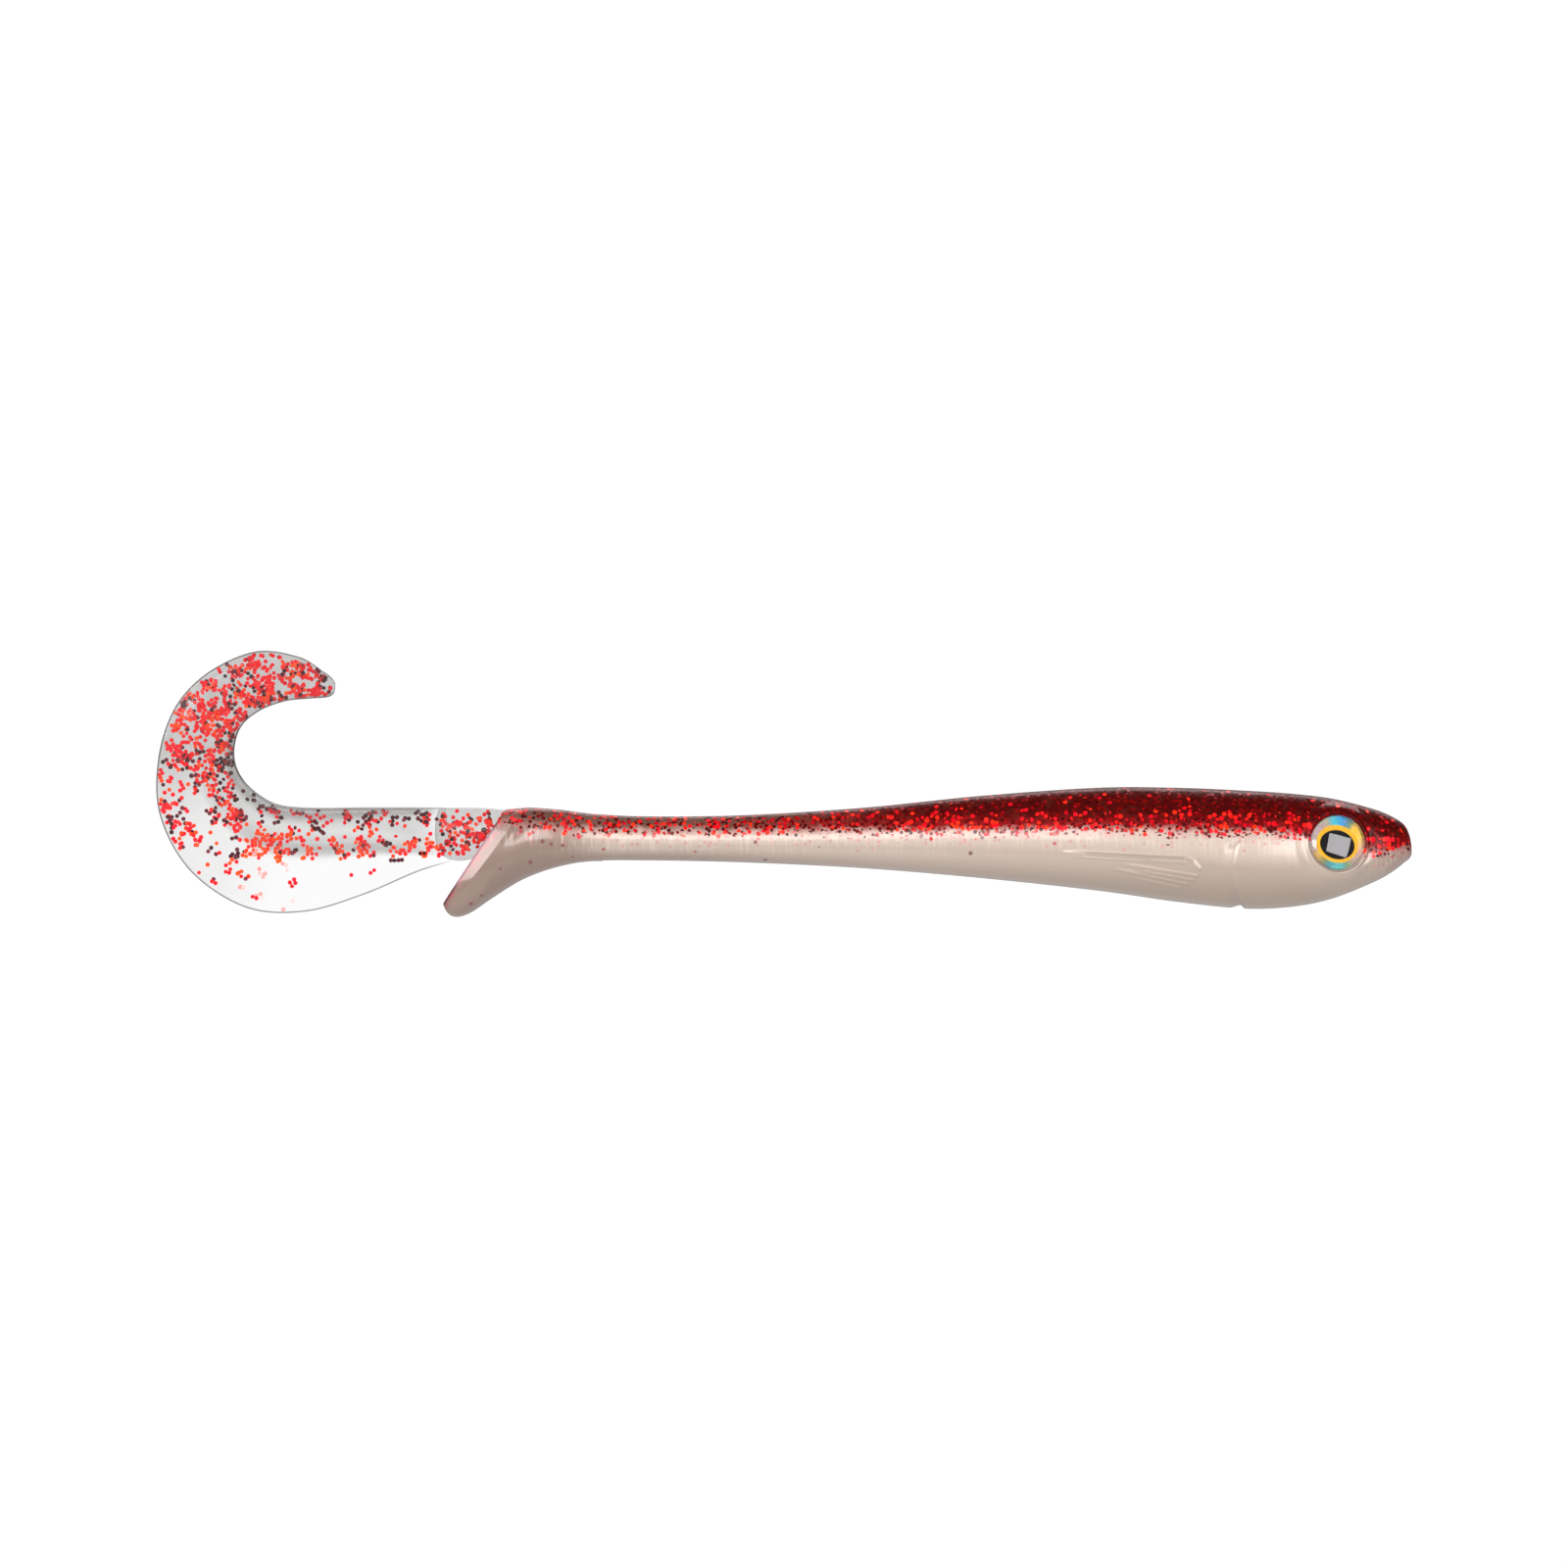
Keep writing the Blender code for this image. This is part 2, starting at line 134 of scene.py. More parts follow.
# The stub that joins the clear blade to the fin, in the same form.
STUB = [
    (-110.6, 4.9, -114.9, -1.0, 2.0),
    (-112.6, 5.15, -115.6, -1.15, 2.0),
    (-115.0, 5.25, -116.6, -1.25, 1.9),
    (-117.0, 5.25, -117.8, -1.05, 1.6),
    (-118.2, 5.25, -118.6, -0.6, 1.35),
    (-118.9, 5.2, -119.1, 0.3, 1.1),
]
# The blade: (inner edge x, z, outer edge x, z, share of the width that is the thick rib).
BLADE = [
    (-118.3, 5.25, -117.6, -1.3, 0.9),
    (-122.4, 5.3, -121.9, -2.7, 0.7),
    (-128.4, 5.3, -128.4, -5.45, 0.52),
    (-134.4, 5.25, -135.6, -7.5, 0.46),
    (-138.8, 5.7, -142.8, -6.95, 0.44),
    (-141.8, 7.45, -149.5, -2.5, 0.43),
    (-143.6, 9.7, -153.2, 4.2, 0.45),
    (-144.1, 12.25, -153.45, 11.15, 0.6),
    (-143.3, 15.1, -151.4, 17.5, 0.85),
    (-141.1, 17.05, -147.3, 21.85, 0.95),
    (-138.0, 18.25, -141.5, 24.4, 0.97),
    (-135.0, 18.6, -136.2, 23.75, 0.97),
    (-132.9, 18.75, -133.2, 21.95, 0.95),
    (-132.0, 19.15, -132.2, 21.2, 0.9),
    (-131.75, 19.85, -131.75, 20.5, 0.9),
]
RIB_ROOT, RIB_TIP = 1.0, 0.6
WEB_ROOT, WEB_TIP = 0.42, 0.4
EDGE_ROUND = 0.5  # how far in from each edge its rounding reaches

# Eyes, as the CAD has them.
EYE_PLACE = (-9.2, 4.45, 1.05)
EYE_YAW, EYE_TILT = 11, 8
SOCKET_RADIUS = 3.38
SOCKET_DEPTH = 1.2
SOCKET_SEGMENTS = 131
RIM_RADIUS, RIM_REACH = 3.75, 5.3
RIM_LEVEL = -0.3
DISC_RADIUS = 3.3
FOIL_BACK, FOIL_FACE = -0.84, -0.69
PAD_BACK, PAD_FACE = -1.16, -0.92
DOME_BACK, DOME_EDGE, DOME_TOP = -0.61, 0.75, 0.66

# Glitter flakes in the clear tail, hexagons.
FLAKE_RADIUS = 0.29
FLAKE_THICKNESS = 0.03
SEED = 11
BLADE_DRAWS, ROOT_DRAWS, ROOT_HEAPS = 1650, 190, 26
CLUMP_SIZES = (0, 0, 1, 1, 2, 4)  # flakes that stick to the first one of a clump
# Kinds of flake: dull and bright colour, how metallic, and how much painted glow it gives, standing in for
# light through the tail.
FLAKE_KINDS = {
    "red": ((0.82, 0.003, 0.02), (1.0, 0.010, 0.006), 0.0, 0.3),
    "orange": ((1.0, 0.035, 0.006), (1.0, 0.11, 0.01), 0.0, 0.28),
    "dark": ((0.04, 0.006, 0.010), (0.22, 0.025, 0.04), 0.2, 0.0),
    "pale": ((1.0, 0.28, 0.25), (1.0, 0.62, 0.58), 0.0, 0.2),
}

# Pearl plastisol on the flank; a darker copy of it as painted shade underneath; the browner pearl of the fin
# and nose, which also serves as deeper painted shade under the stem.
PEARL = (0.46, 0.375, 0.31)
SHADED_LOW_PEARL = (0.325, 0.255, 0.20)
FIN_PEARL_AND_SHADE = (0.235, 0.165, 0.13)
CLOUDY_PEARL = tuple(0.8 * c for c in SHADED_LOW_PEARL)
BRIGHT_PEARL = tuple(1.25 * c for c in PEARL)
BLUSH = (0.52, 0.16, 0.15)
SUNK_PINK = (0.62, 0.16, 0.17)
SUNK_MAUVE = (0.35, 0.16, 0.18)
EDGE_PINK = (0.50, 0.10, 0.13)
EDGE_MAROON = (0.11, 0.015, 0.025)
STRAY_STOPS = [(0.0, (0.10, 0.03, 0.035)), (0.6, (0.19, 0.05, 0.06)), (1.0, (0.45, 0.04, 0.05))]

# The glitter back: what shows between its flakes, then its deep and its bright flakes.
DEEP_RED = (0.06, 0.0005, 0.0005)
LIT_RED = (0.25, 0.005, 0.007)
AFT_BROWN = (0.12, 0.065, 0.048)
OLIVE = (0.09, 0.045, 0.022)
BED_STOPS = [(0.0, (0.04, 0.0003, 0.0003)), (0.6, (0.12, 0.0004, 0.0004)), (1.0, (0.30, 0.001, 0.002))]
TOP_STOPS = [(0.0, (0.40, 0.001, 0.008)), (0.5, (0.95, 0.004, 0.012)), (1.0, (1.0, 0.035, 0.004))]

# Print on the eye foil: two ovals as (centre, half width, half height), and the rim's hues round one turn.
PRINT_LEAN = -0.22
GOLD_RING = ((0.06, -0.12), 2.62, 2.30)
PUPIL = ((0.06, -0.22), 2.17, 1.78)
RIM_HUES = [
    (0.00, (0.72, 0.42, 0.22)),
    (0.07, (0.95, 0.62, 0.03)),
    (0.14, (0.85, 0.50, 0.02)),
    (0.18, (0.10, 0.20, 0.16)),
    (0.23, (0.00, 0.27, 0.66)),
    (0.30, (0.01, 0.50, 0.62)),
    (0.35, (0.42, 0.34, 0.18)),
    (0.42, (0.46, 0.34, 0.36)),
    (0.56, (0.50, 0.40, 0.40)),
    (0.61, (0.72, 0.42, 0.03)),
    (0.67, (0.20, 0.20, 0.05)),
    (0.72, (0.01, 0.28, 0.30)),
    (0.80, (0.01, 0.40, 0.38)),
    (0.85, (0.16, 0.26, 0.10)),
    (0.92, (0.55, 0.36, 0.34)),
    (1.00, (0.72, 0.42, 0.22)),
]

# Camera and light.
FRAME_WIDTH = 192.0
VIEW_CENTRE = (-76.8, 0.0, 8.16)
LENS = 240.0
SENSOR = 36.0
FLOOR_Z = -180.0
FLOOR_RADIUS = 900.0
ROOM_LIGHT = 0.22


# -------------------- curves and small helpers


def curve_through(rows, steps):
    """Catmull-Rom through the rows, with the given number of steps between neighbours, as an array."""
    rows = np.array(rows, float)
    padded = np.vstack([2 * rows[0] - rows[1], rows, 2 * rows[-1] - rows[-2]])
    found = []
    for i in range(1, len(padded) - 2):
        a, b, c, d = padded[i - 1 : i + 3]
        for k in range(steps):
            t = k / steps
            found.append(
                (a * (-t + 2 * t**2 - t**3) + b * (2 - 5 * t**2 + 3 * t**3)) / 2
                + (c * (t + 4 * t**2 - 3 * t**3) + d * (t**3 - t**2)) / 2
            )
    return np.array([*found, rows[-1]])


BODY_CURVE = curve_through(BODY, 24)
BOND_CURVE = curve_through(BOND_LINE, 24)


def body_at(x):
    """Top, bottom and half width of the body at x, which may be an array."""
    return [np.interp(-x, -BODY_CURVE[:, 0], BODY_CURVE[:, k]) for k in (1, 2, 3)]


def bond_at(x):
    return np.interp(-x, -BOND_CURVE[:, 0], BOND_CURVE[:, 1])


def smooth_step(low, high, value):
    t = np.clip((np.asarray(value, float) - low) / (high - low), 0, 1)
    return t * t * (3 - 2 * t)


def signed_power(value, power):
    return np.sign(value) * np.abs(value) ** power


def object_from(name, verts, faces, smooth=True, sharp=35):
    """A mesh object from millimetre points. Its normals face outwards."""
    mesh = bpy.data.meshes.new(name)
    mesh.from_pydata((np.asarray(verts) * MM).tolist(), [], faces)
    bm = bmesh.new()
    bm.from_mesh(mesh)
    bmesh.ops.remove_doubles(bm, verts=bm.verts, dist=0.0005 * MM)
    bmesh.ops.recalc_face_normals(bm, faces=bm.faces)
    bm.to_mesh(mesh)
    bm.free()
    if smooth:
        mesh.shade_smooth()
        mesh.set_sharp_from_angle(angle=math.radians(sharp))
    made = bpy.data.objects.new(name, mesh)
    bpy.context.scene.collection.objects.link(made)
    return made


def loft(name, rings, sharp=35):
    """A closed solid through an array of rings, with a cap at each end."""
    rings = np.asarray(rings)
    count, around = rings.shape[:2]
    faces = []
    for i in range(count - 1):
        for j in range(around):
            k = (j + 1) % around
            faces.append((i * around + j, i * around + k, (i + 1) * around + k, (i + 1) * around + j))
    faces.append(tuple(range(around)))
    faces.append(tuple((count - 1) * around + j for j in reversed(range(around))))
    return object_from(name, rings.reshape(-1, 3), faces, sharp=sharp)


def points_of(obj):
    """The mesh's points in millimetres."""
    found = np.zeros(len(obj.data.vertices) * 3)
    obj.data.vertices.foreach_get("co", found)
    return found.reshape(-1, 3) / MM


def keep_number(obj, name, values):
    layer = obj.data.attributes.new(name, "FLOAT", "POINT")
    layer.data.foreach_set("value", np.asarray(values, np.float32))


def keep_rest(obj):
    """Stores each point's place at rest, in millimetres, so that patterns stay put in a bend."""
    layer = obj.data.attributes.new("rest", "FLOAT_VECTOR", "POINT")
    layer.data.foreach_set("vector", points_of(obj).astype(np.float32).ravel())


def eye_frame(side):
    """The matrix of an eye's own axes, in millimetres: z looks outwards and y is up."""
    yaw, tilt = math.radians(EYE_YAW), math.radians(EYE_TILT)
    out = Vector((math.sin(yaw), side * math.cos(yaw), math.tan(tilt))).normalized()
    right = Vector((0, 0, 1)).cross(out).normalized()
    up = out.cross(right)
    turn = Matrix((right, up, out)).transposed().to_4x4()
    return Matrix.Translation((EYE_PLACE[0], side * EYE_PLACE[1], EYE_PLACE[2])) @ turn


# -------------------- materials


class Shader:
    """A Principled material and a few short ways to wire nodes into it."""

    def __init__(self, name, **values):
        self.material = bpy.data.materials.new(name)
        self.material.use_nodes = True
        self.tree = self.material.node_tree
        self.main = self.tree.nodes["Principled BSDF"]
        for socket, value in values.items():
            self.main.inputs[socket.replace("_", " ")].default_value = value

    def node(self, kind, links=(), **settings):
        made = self.tree.nodes.new("ShaderNode" + kind)
        for key, value in settings.items():
            setattr(made, key, value)
        for socket, value in dict(links).items():
            if isinstance(value, bpy.types.NodeSocket):
                self.tree.links.new(value, made.inputs[socket])
            else:
                made.inputs[socket].default_value = value
        return made

    def attribute(self, name):
        made = self.node("Attribute", attribute_name=name)
        return made.outputs["Vector"] if name in ("rest", "eye") else made.outputs["Fac"]

    def math(self, operation, a, b=0.0, c=0.0):
        return self.node("Math", {0: a, 1: b, 2: c}, operation=operation).outputs[0]

    def times(self, a, b):
        return self.math("MULTIPLY", a, b)

    def linear(self, value, slope, start):
        """Value times slope, plus start."""
        return self.math("MULTIPLY_ADD", value, slope, start)

    def step(self, value, low, high):
        """0 where value is under low, 1 over high, smooth between; low may be the larger."""
        links = {"Value": value, "From Min": low, "From Max": high}
        made = self.node("MapRange", links, interpolation_type="SMOOTHSTEP")
        return made.outputs["Result"]

    def stretch(self, vector, scale, offset=(0, 0, 0)):
        links = {"Vector": vector, "Scale": scale, "Location": offset}
        return self.node("Mapping", links).outputs["Vector"]

    def shift(self, vector, offset):
        return self.stretch(vector, (1, 1, 1), offset)

    def noise(self, vector, scale, detail=2.0):
        return self.node("TexNoise", {"Vector": vector, "Scale": scale, "Detail": detail}).outputs["Fac"]

    def cells(self, vector, scale):
        """Scattered flakes: the distance from each flake's middle and a random colour for each."""
        made = self.node("TexVoronoi", {"Vector": vector, "Scale": scale})
        return made.outputs["Distance"], made.outputs["Color"]

    def split(self, colour):
        made = self.node("SeparateColor", {"Color": colour})
        return made.outputs[0], made.outputs[1], made.outputs[2]

    def mix(self, share, a, b):
        made = self.node("Mix", data_type="RGBA")
        sockets = {"Factor": made.inputs[0], "A": made.inputs[6], "B": made.inputs[7]}
        for key, value in (("Factor", share), ("A", a), ("B", b)):
            if isinstance(value, bpy.types.NodeSocket):
                self.tree.links.new(value, sockets[key])
            else:
                sockets[key].default_value = (*value, 1.0) if isinstance(value, tuple) else value
        return made.outputs[2]

    def ramp(self, value, stops):
        made = self.node("ValToRGB", {"Fac": value})
        elements = made.color_ramp.elements
        while len(elements) < len(stops):
            elements.new(0.5)
        for element, (place, colour) in zip(elements, stops):
            element.position = place
            element.color = (*colour, 1.0)
        return made.outputs["Color"]

    def vector_math(self, operation, links):
        return self.node("VectorMath", links, operation=operation).outputs[0]

    def tilt_by(self, random_colour, amount, normal):
        """The normal, turned a random way for each flake."""
        centred = self.vector_math("SUBTRACT", {0: random_colour, 1: (0.5, 0.5, 0.5)})
        scaled = self.vector_math("SCALE", {0: centred, "Scale": amount})
        turned = self.vector_math("ADD", {0: normal, 1: scaled})
        return self.vector_math("NORMALIZE", {0: turned})

    def bump(self, height, distance, strength=1.0):
        links = {"Height": height, "Distance": distance, "Strength": strength}
        return self.node("Bump", links).outputs["Normal"]

    def wire(self, socket, output):
        self.tree.links.new(output, self.main.inputs[socket])


def scattered_flakes(s, place, scale, edges, share):
    """Random flakes in a pour: where one shows, and each one's random colour and shade."""
    distance, colour = s.cells(place, scale)
    pick, shade, _ = s.split(colour)
    return s.times(s.step(distance, *edges), s.math("LESS_THAN", pick, share)), colour, shade


def plain_pearl(s, rest, above, x, aft, flow):
    """Pearl: flow marks high on the flank, cloudy, with painted shade darkening it below and deeper aft,
    brown at the nose and the fin.
    """
    # Painted shade: the pearl darkens below the flank, and more so aft under the stem.
    low = s.mix(s.step(x, -38.0, -75.0), SHADED_LOW_PEARL, FIN_PEARL_AND_SHADE)
    pearl = s.mix(s.step(above, -1.5, s.linear(aft, 4.0, -8.0)), PEARL, low)
    pearl = s.mix(s.times(s.step(x, -10.0, -1.0), 0.5), pearl, FIN_PEARL_AND_SHADE)
    pearl = s.mix(s.times(s.noise(rest, 0.25, 3.0), 0.22), pearl, CLOUDY_PEARL)
    pearl = s.mix(s.step(x, -97.0, -106.0), pearl, FIN_PEARL_AND_SHADE)
    marks = s.times(s.step(above, -4.0, -0.8), s.step(flow, 0.5, 0.68))
    return s.mix(s.times(marks, 0.5), pearl, BRIGHT_PEARL)


def flakes_in_pearl(s, rest, above, pearl, fin):
    """Flakes that sank into the pearl show pale and blurred, and a few strays are dark and sharp."""
    share = s.times(s.step(above, -3.0, -0.6), 0.6)
    sunk, _, shade = scattered_flakes(s, s.shift(rest, (1.3, 8.2, 2.9)), 1.7, (0.5, 0.25), share)
    pearl = s.mix(s.times(sunk, 0.5), pearl, s.mix(shade, SUNK_PINK, SUNK_MAUVE))
    share = s.linear(s.step(above, -4.0, -1.2), 0.36, 0.25 * fin)
    stray, _, shade = scattered_flakes(s, s.shift(rest, (9.1, 4.4, 0.7)), 0.8, (0.25, 0.18), share)
    return s.mix(s.times(stray, 0.85), pearl, s.ramp(shade, STRAY_STOPS))


def fin_edge(s, rest, pearl):
    """Maroon along the fin's rear edge, and pink beside it."""
    reach = s.node("VectorMath", {0: rest, 1: FIN_EDGE_NORMAL}, operation="DOT_PRODUCT").outputs["Value"]
    ahead = s.math("SUBTRACT", reach, FIN_EDGE_REACH)
    pink = s.times(s.step(ahead, 1.2, 0.3), s.step(s.noise(rest, 1.6, 2.0), 0.42, 0.6))
    pearl = s.mix(s.times(pink, 0.55), pearl, EDGE_PINK)
    return s.mix(s.times(s.step(ahead, 0.42, 0.08), 0.9), pearl, EDGE_MAROON)


def between_flakes(s, rest, height, aft):
    """Between the flakes of the back: deep red, brown and olive aft, lit near the bond line."""
    patches = s.step(s.noise(s.shift(rest, (5.0, 2.0, 1.0)), 0.9, 2.0), 0.5, 0.62)
    gap = s.mix(aft, DEEP_RED, AFT_BROWN)
    gap = s.mix(s.times(patches, s.linear(aft, 0.5, 0.12)), gap, OLIVE)
    lit = s.times(s.step(height, 2.2, 0.4), s.linear(aft, -0.7, 0.8))
    return s.mix(lit, gap, LIT_RED)


def glitter_back(s, rest, height, aft, pearl):
    """The back over the pearl: a deep bed of flakes, and bright ones that crowd towards the bond line.

    Gives the colour, where there is a flake, and each flake's random colour.
    """
    share = s.times(s.step(height, -1.1, 0.1), s.linear(aft, -0.3, 0.95))
    bed, bed_random, bed_shade = scattered_flakes(s, rest, 2.0, (0.56, 0.44), share)
    crowd = s.times(s.step(height, 3.2, 0.9), s.step(s.noise(rest, 0.45, 2.0), 0.3, 0.55))
    share = s.times(s.step(height, -1.4, 0.3), s.linear(crowd, 0.68, 0.06))
    place = s.shift(rest, (3.7, 1.9, 5.3))
    top, top_random, top_shade = scattered_flakes(s, place, 1.65, (0.54, 0.40), share)
    colour = s.mix(s.step(height, -0.4, 0.7), pearl, between_flakes(s, rest, height, aft))
    colour = s.mix(bed, colour, s.ramp(bed_shade, BED_STOPS))
    colour = s.mix(top, colour, s.ramp(top_shade, TOP_STOPS))
    return colour, s.math("MAXIMUM", bed, top), s.mix(top, bed_random, top_random)


def poured_material(name, shine, fin=0):
    """Pearl plastisol with red glitter above a wandering bond line. fin is 1 on the paddle fin."""
    s = Shader(name, Coat_Roughness=0.12, IOR=1.45, Specular_IOR_Level=shine)
    rest, above = s.attribute("rest"), s.attribute("above")
    x = s.node("SeparateXYZ", {"Vector": rest}).outputs[0]
    aft = s.step(x, -58.0, -92.0)
    flow = s.noise(s.stretch(rest, (3.6, 1.0, 0.3)), 1.0, 3.0)
    height = s.math("ADD", above, s.linear(s.noise(rest, 0.7, 3.0), 1.6, -0.8))

    pearl = plain_pearl(s, rest, above, x, aft, flow)
    pearl = s.mix(s.times(s.step(height, -1.4, 0.2), 0.35), pearl, BLUSH)
    pearl = flakes_in_pearl(s, rest, above, pearl, fin)
    if fin:
        pearl = fin_edge(s, rest, pearl)
    colour, flake, flake_random = glitter_back(s, rest, height, aft, pearl)

    red = s.step(height, -0.8, 0.4)
    s.wire("Base Color", colour)
    s.wire("Metallic", s.math("ADD", s.times(flake, 0.25), s.linear(red, -0.28, 0.32)))
    s.wire("Roughness", s.linear(flake, -0.05, 0.40))
    s.wire("Coat Weight", s.linear(red, -0.53, 0.65))
    grain = s.math("ADD", s.noise(rest, 8.0, 2.0), s.times(flow, 2.5))
    s.wire("Normal", s.tilt_by(flake_random, s.times(flake, 0.3), s.bump(grain, 0.02 * MM, 0.6)))
    return s.material


def clear_material(name, painted_rim_shade):
    """Clear plastisol: what shows through it greys where it is thick, and painted shade darkens its rims
    where they turn from view, standing in for refraction.
    """
    s = Shader(name, IOR=1.45, Roughness=0.12, Coat_Weight=0.12, Coat_Roughness=0.05)
    rest, tone = s.attribute("rest"), s.attribute("tone")
    cloud = s.linear(s.noise(rest, 0.6, 3.0), 0.5, 0.75)
    # Painted shade: the rims turn dark where they face away, standing in for refraction.
    rim = s.node("LayerWeight", {"Blend": 0.5}).outputs["Facing"]
    rim = s.times(s.math("POWER", rim, 4.0), painted_rim_shade)
    s.wire("Alpha", s.math("ADD", s.times(tone, cloud), rim))
    s.wire("Base Color", s.mix(cloud, (0.055, 0.047, 0.040), (0.075, 0.068, 0.060)))
    ripple = s.noise(s.stretch(rest, (0.5, 1.0, 0.5)), 1.0, 2.0)
    s.wire("Normal", s.bump(ripple, 0.1 * MM, 0.4))
    return s.material


def flake_material(name, dull, bright, metallic, painted_glow):
    """Glitter: every flake has its own shade, a worn face and a painted glow that stands in for the light
    through the tail from behind.
    """
    s = Shader(name, Metallic=metallic, Coat_Weight=0.03, Coat_Roughness=0.1, Specular_IOR_Level=0.1)
    scratches = s.noise(s.stretch(s.attribute("rest"), (9, 9, 9)), 1.0, 3.0)
    colour = s.ramp(s.attribute("shade"), [(0.0, dull), (1.0, bright)])
    s.wire("Base Color", s.mix(s.times(scratches, 0.25), colour, tuple(0.6 * c for c in dull)))
    s.wire("Roughness", s.linear(scratches, 0.3, 0.2))
    # Painted glow: emission in the flake's dull colour stands in for light shining through the tail.
    s.main.inputs["Emission Color"].default_value = (*dull, 1.0)
    s.main.inputs["Emission Strength"].default_value = painted_glow
    return s.material


def from_oval(s, x, y, centre, half_width, half_height):
    """How far out a place is from a printed oval's centre: 1 on its edge."""
    dx, dy = s.math("ADD", x, -centre[0]), s.math("ADD", y, -centre[1])
    c, q = math.cos(PRINT_LEAN), math.sin(PRINT_LEAN)
    along = s.math("ADD", s.times(dx, c / half_width), s.times(dy, q / half_width))
    across = s.math("ADD", s.times(dy, c / half_height), s.times(dx, -q / half_height))
    return s.math("SQRT", s.math("ADD", s.times(along, along), s.times(across, across)))


def foil_material():
    """Eye foil: a black pupil, a gold ring and a holographic rim whose hue goes round with the angle."""
    s = Shader("holographic_foil_look", Specular_IOR_Level=0.05)
    on_foil = s.attribute("eye")
    place = s.node("SeparateXYZ", {"Vector": on_foil})
    x, y = place.outputs[0], place.outputs[1]
    wobble = s.noise(on_foil, 1.6, 2.0)
    angle = s.math("DIVIDE", s.math("ARCTAN2", y, x), 2 * math.pi)
    turn = s.math("FRACT", s.math("ADD", s.math("ADD", angle, 1.0), s.times(wobble, 0.06)))
    glints = s.cells(on_foil, 4.0)[1]
    rim = s.mix(0.12, s.ramp(turn, RIM_HUES), glints)
    gold = s.mix(s.noise(on_foil, 3.0, 2.0), (0.95, 0.55, 0.02), (0.70, 0.33, 0.03))
    iris = s.step(from_oval(s, x, y, *GOLD_RING), 1.03, 0.97)
    black = s.step(from_oval(s, x, y, *PUPIL), 1.015, 0.985)
    s.wire("Base Color", s.mix(black, s.mix(iris, rim, gold), (0.003, 0.003, 0.004)))
    s.wire("Metallic", s.linear(black, -0.2, 0.2))
    s.wire("Roughness", s.linear(wobble, 0.2, 0.45))
    s.wire("Normal", s.bump(s.noise(on_foil, 12.0, 2.0), 0.01 * MM, 0.5))
    return s.material


def dome_material():
    s = Shader("epoxy_dome_look", IOR=1.06, Roughness=0.0, Transmission_Weight=1.0)
    for socket, value in (("Coat Weight", 1.0), ("Coat IOR", 1.6), ("Coat Roughness", 0.0)):
        s.main.inputs[socket].default_value = value
    rest = s.attribute("rest")
    s.wire("Base Color", s.mix(s.noise(rest, 0.8, 2.0), (0.99, 0.99, 1.0), (0.97, 0.975, 0.98)))
    s.wire("Normal", s.bump(s.noise(rest, 0.6, 1.0), 0.02 * MM, 0.4))
    return s.material


def bonded_material():
    """The dome's flat back, which is glued to the foil, so that nothing reflects there."""
    s = Shader("epoxy_bond_look", IOR=1.0, Roughness=0.0, Transmission_Weight=1.0, Specular_IOR_Level=0.0)
    mottle = s.noise(s.attribute("rest"), 0.8, 2.0)
    s.wire("Base Color", s.mix(mottle, (1.0, 1.0, 1.0), (0.97, 0.975, 0.98)))
    return s.material


def pad_material():
    s = Shader("adhesive_pad_look", Roughness=0.7)
    cells = s.cells(s.attribute("rest"), 6.0)[0]
    s.wire("Base Color", s.mix(cells, (0.85, 0.85, 0.83), (0.62, 0.62, 0.60)))
    s.wire("Normal", s.bump(cells, 0.03 * MM, 0.8))
    return s.material


# -------------------- body


def relief(x, z):
    """How far the moulded gill crease and pectoral fin stand out of the skin at places on the flank."""
    gill = np.array(sorted(GILL))
    behind = np.interp(z, gill[:, 0], gill[:, 1]) - x
    depth = 0.13 + 0.27 * smooth_step(-4.5, -6.9, z)
    depth = depth * smooth_step(1.4, 0.2, z)
    groove = np.where(behind > 0, smooth_step(1.5, 0.0, behind), smooth_step(-0.35, 0.0, behind))
    ridge = np.zeros_like(x)
    for (x0, z0), (x1, z1), tall in FIN_RIDGES:
        along = np.array((x1 - x0, z1 - z0))
        length = np.hypot(*along)
        t = np.clip(((x - x0) * along[0] + (z - z0) * along[1]) / length**2, 0, 1)
        gap = np.hypot(x - x0 - t * along[0], z - z0 - t * along[1])
        ends = 0.35 + 0.65 * smooth_step(0, 0.25, t)
        ridge = np.maximum(ridge, tall * ends * np.exp(-((gap / RIDGE_WIDTH) ** 2)))
    return ridge - depth * groove


def raise_eye_rim(points):
    """Lifts the skin round each eye into a moulded rim."""
    for side in (-1, 1):
        to_eye = np.array(eye_frame(side).inverted())
        from_eye = np.array(eye_frame(side))
        local = points @ to_eye[:3, :3].T + to_eye[:3, 3]
        near = (np.hypot(local[:, 0], local[:, 1]) < RIM_REACH + 1) & (local[:, 2] > -3.5)
        r = np.hypot(local[near, 0], local[near, 1])
        h = local[near, 2]
        share = smooth_step(RIM_REACH, RIM_RADIUS + 0.15, r)
        h = h + share * (RIM_LEVEL - h) * np.where(h < RIM_LEVEL, 1.0, 0.6)
        h = h + 0.2 * np.exp(-(((r - RIM_RADIUS) / 0.2) ** 2))
        local[near, 2] = h
        points[near] = local[near] @ from_eye[:3, :3].T + from_eye[:3, 3]
    return points


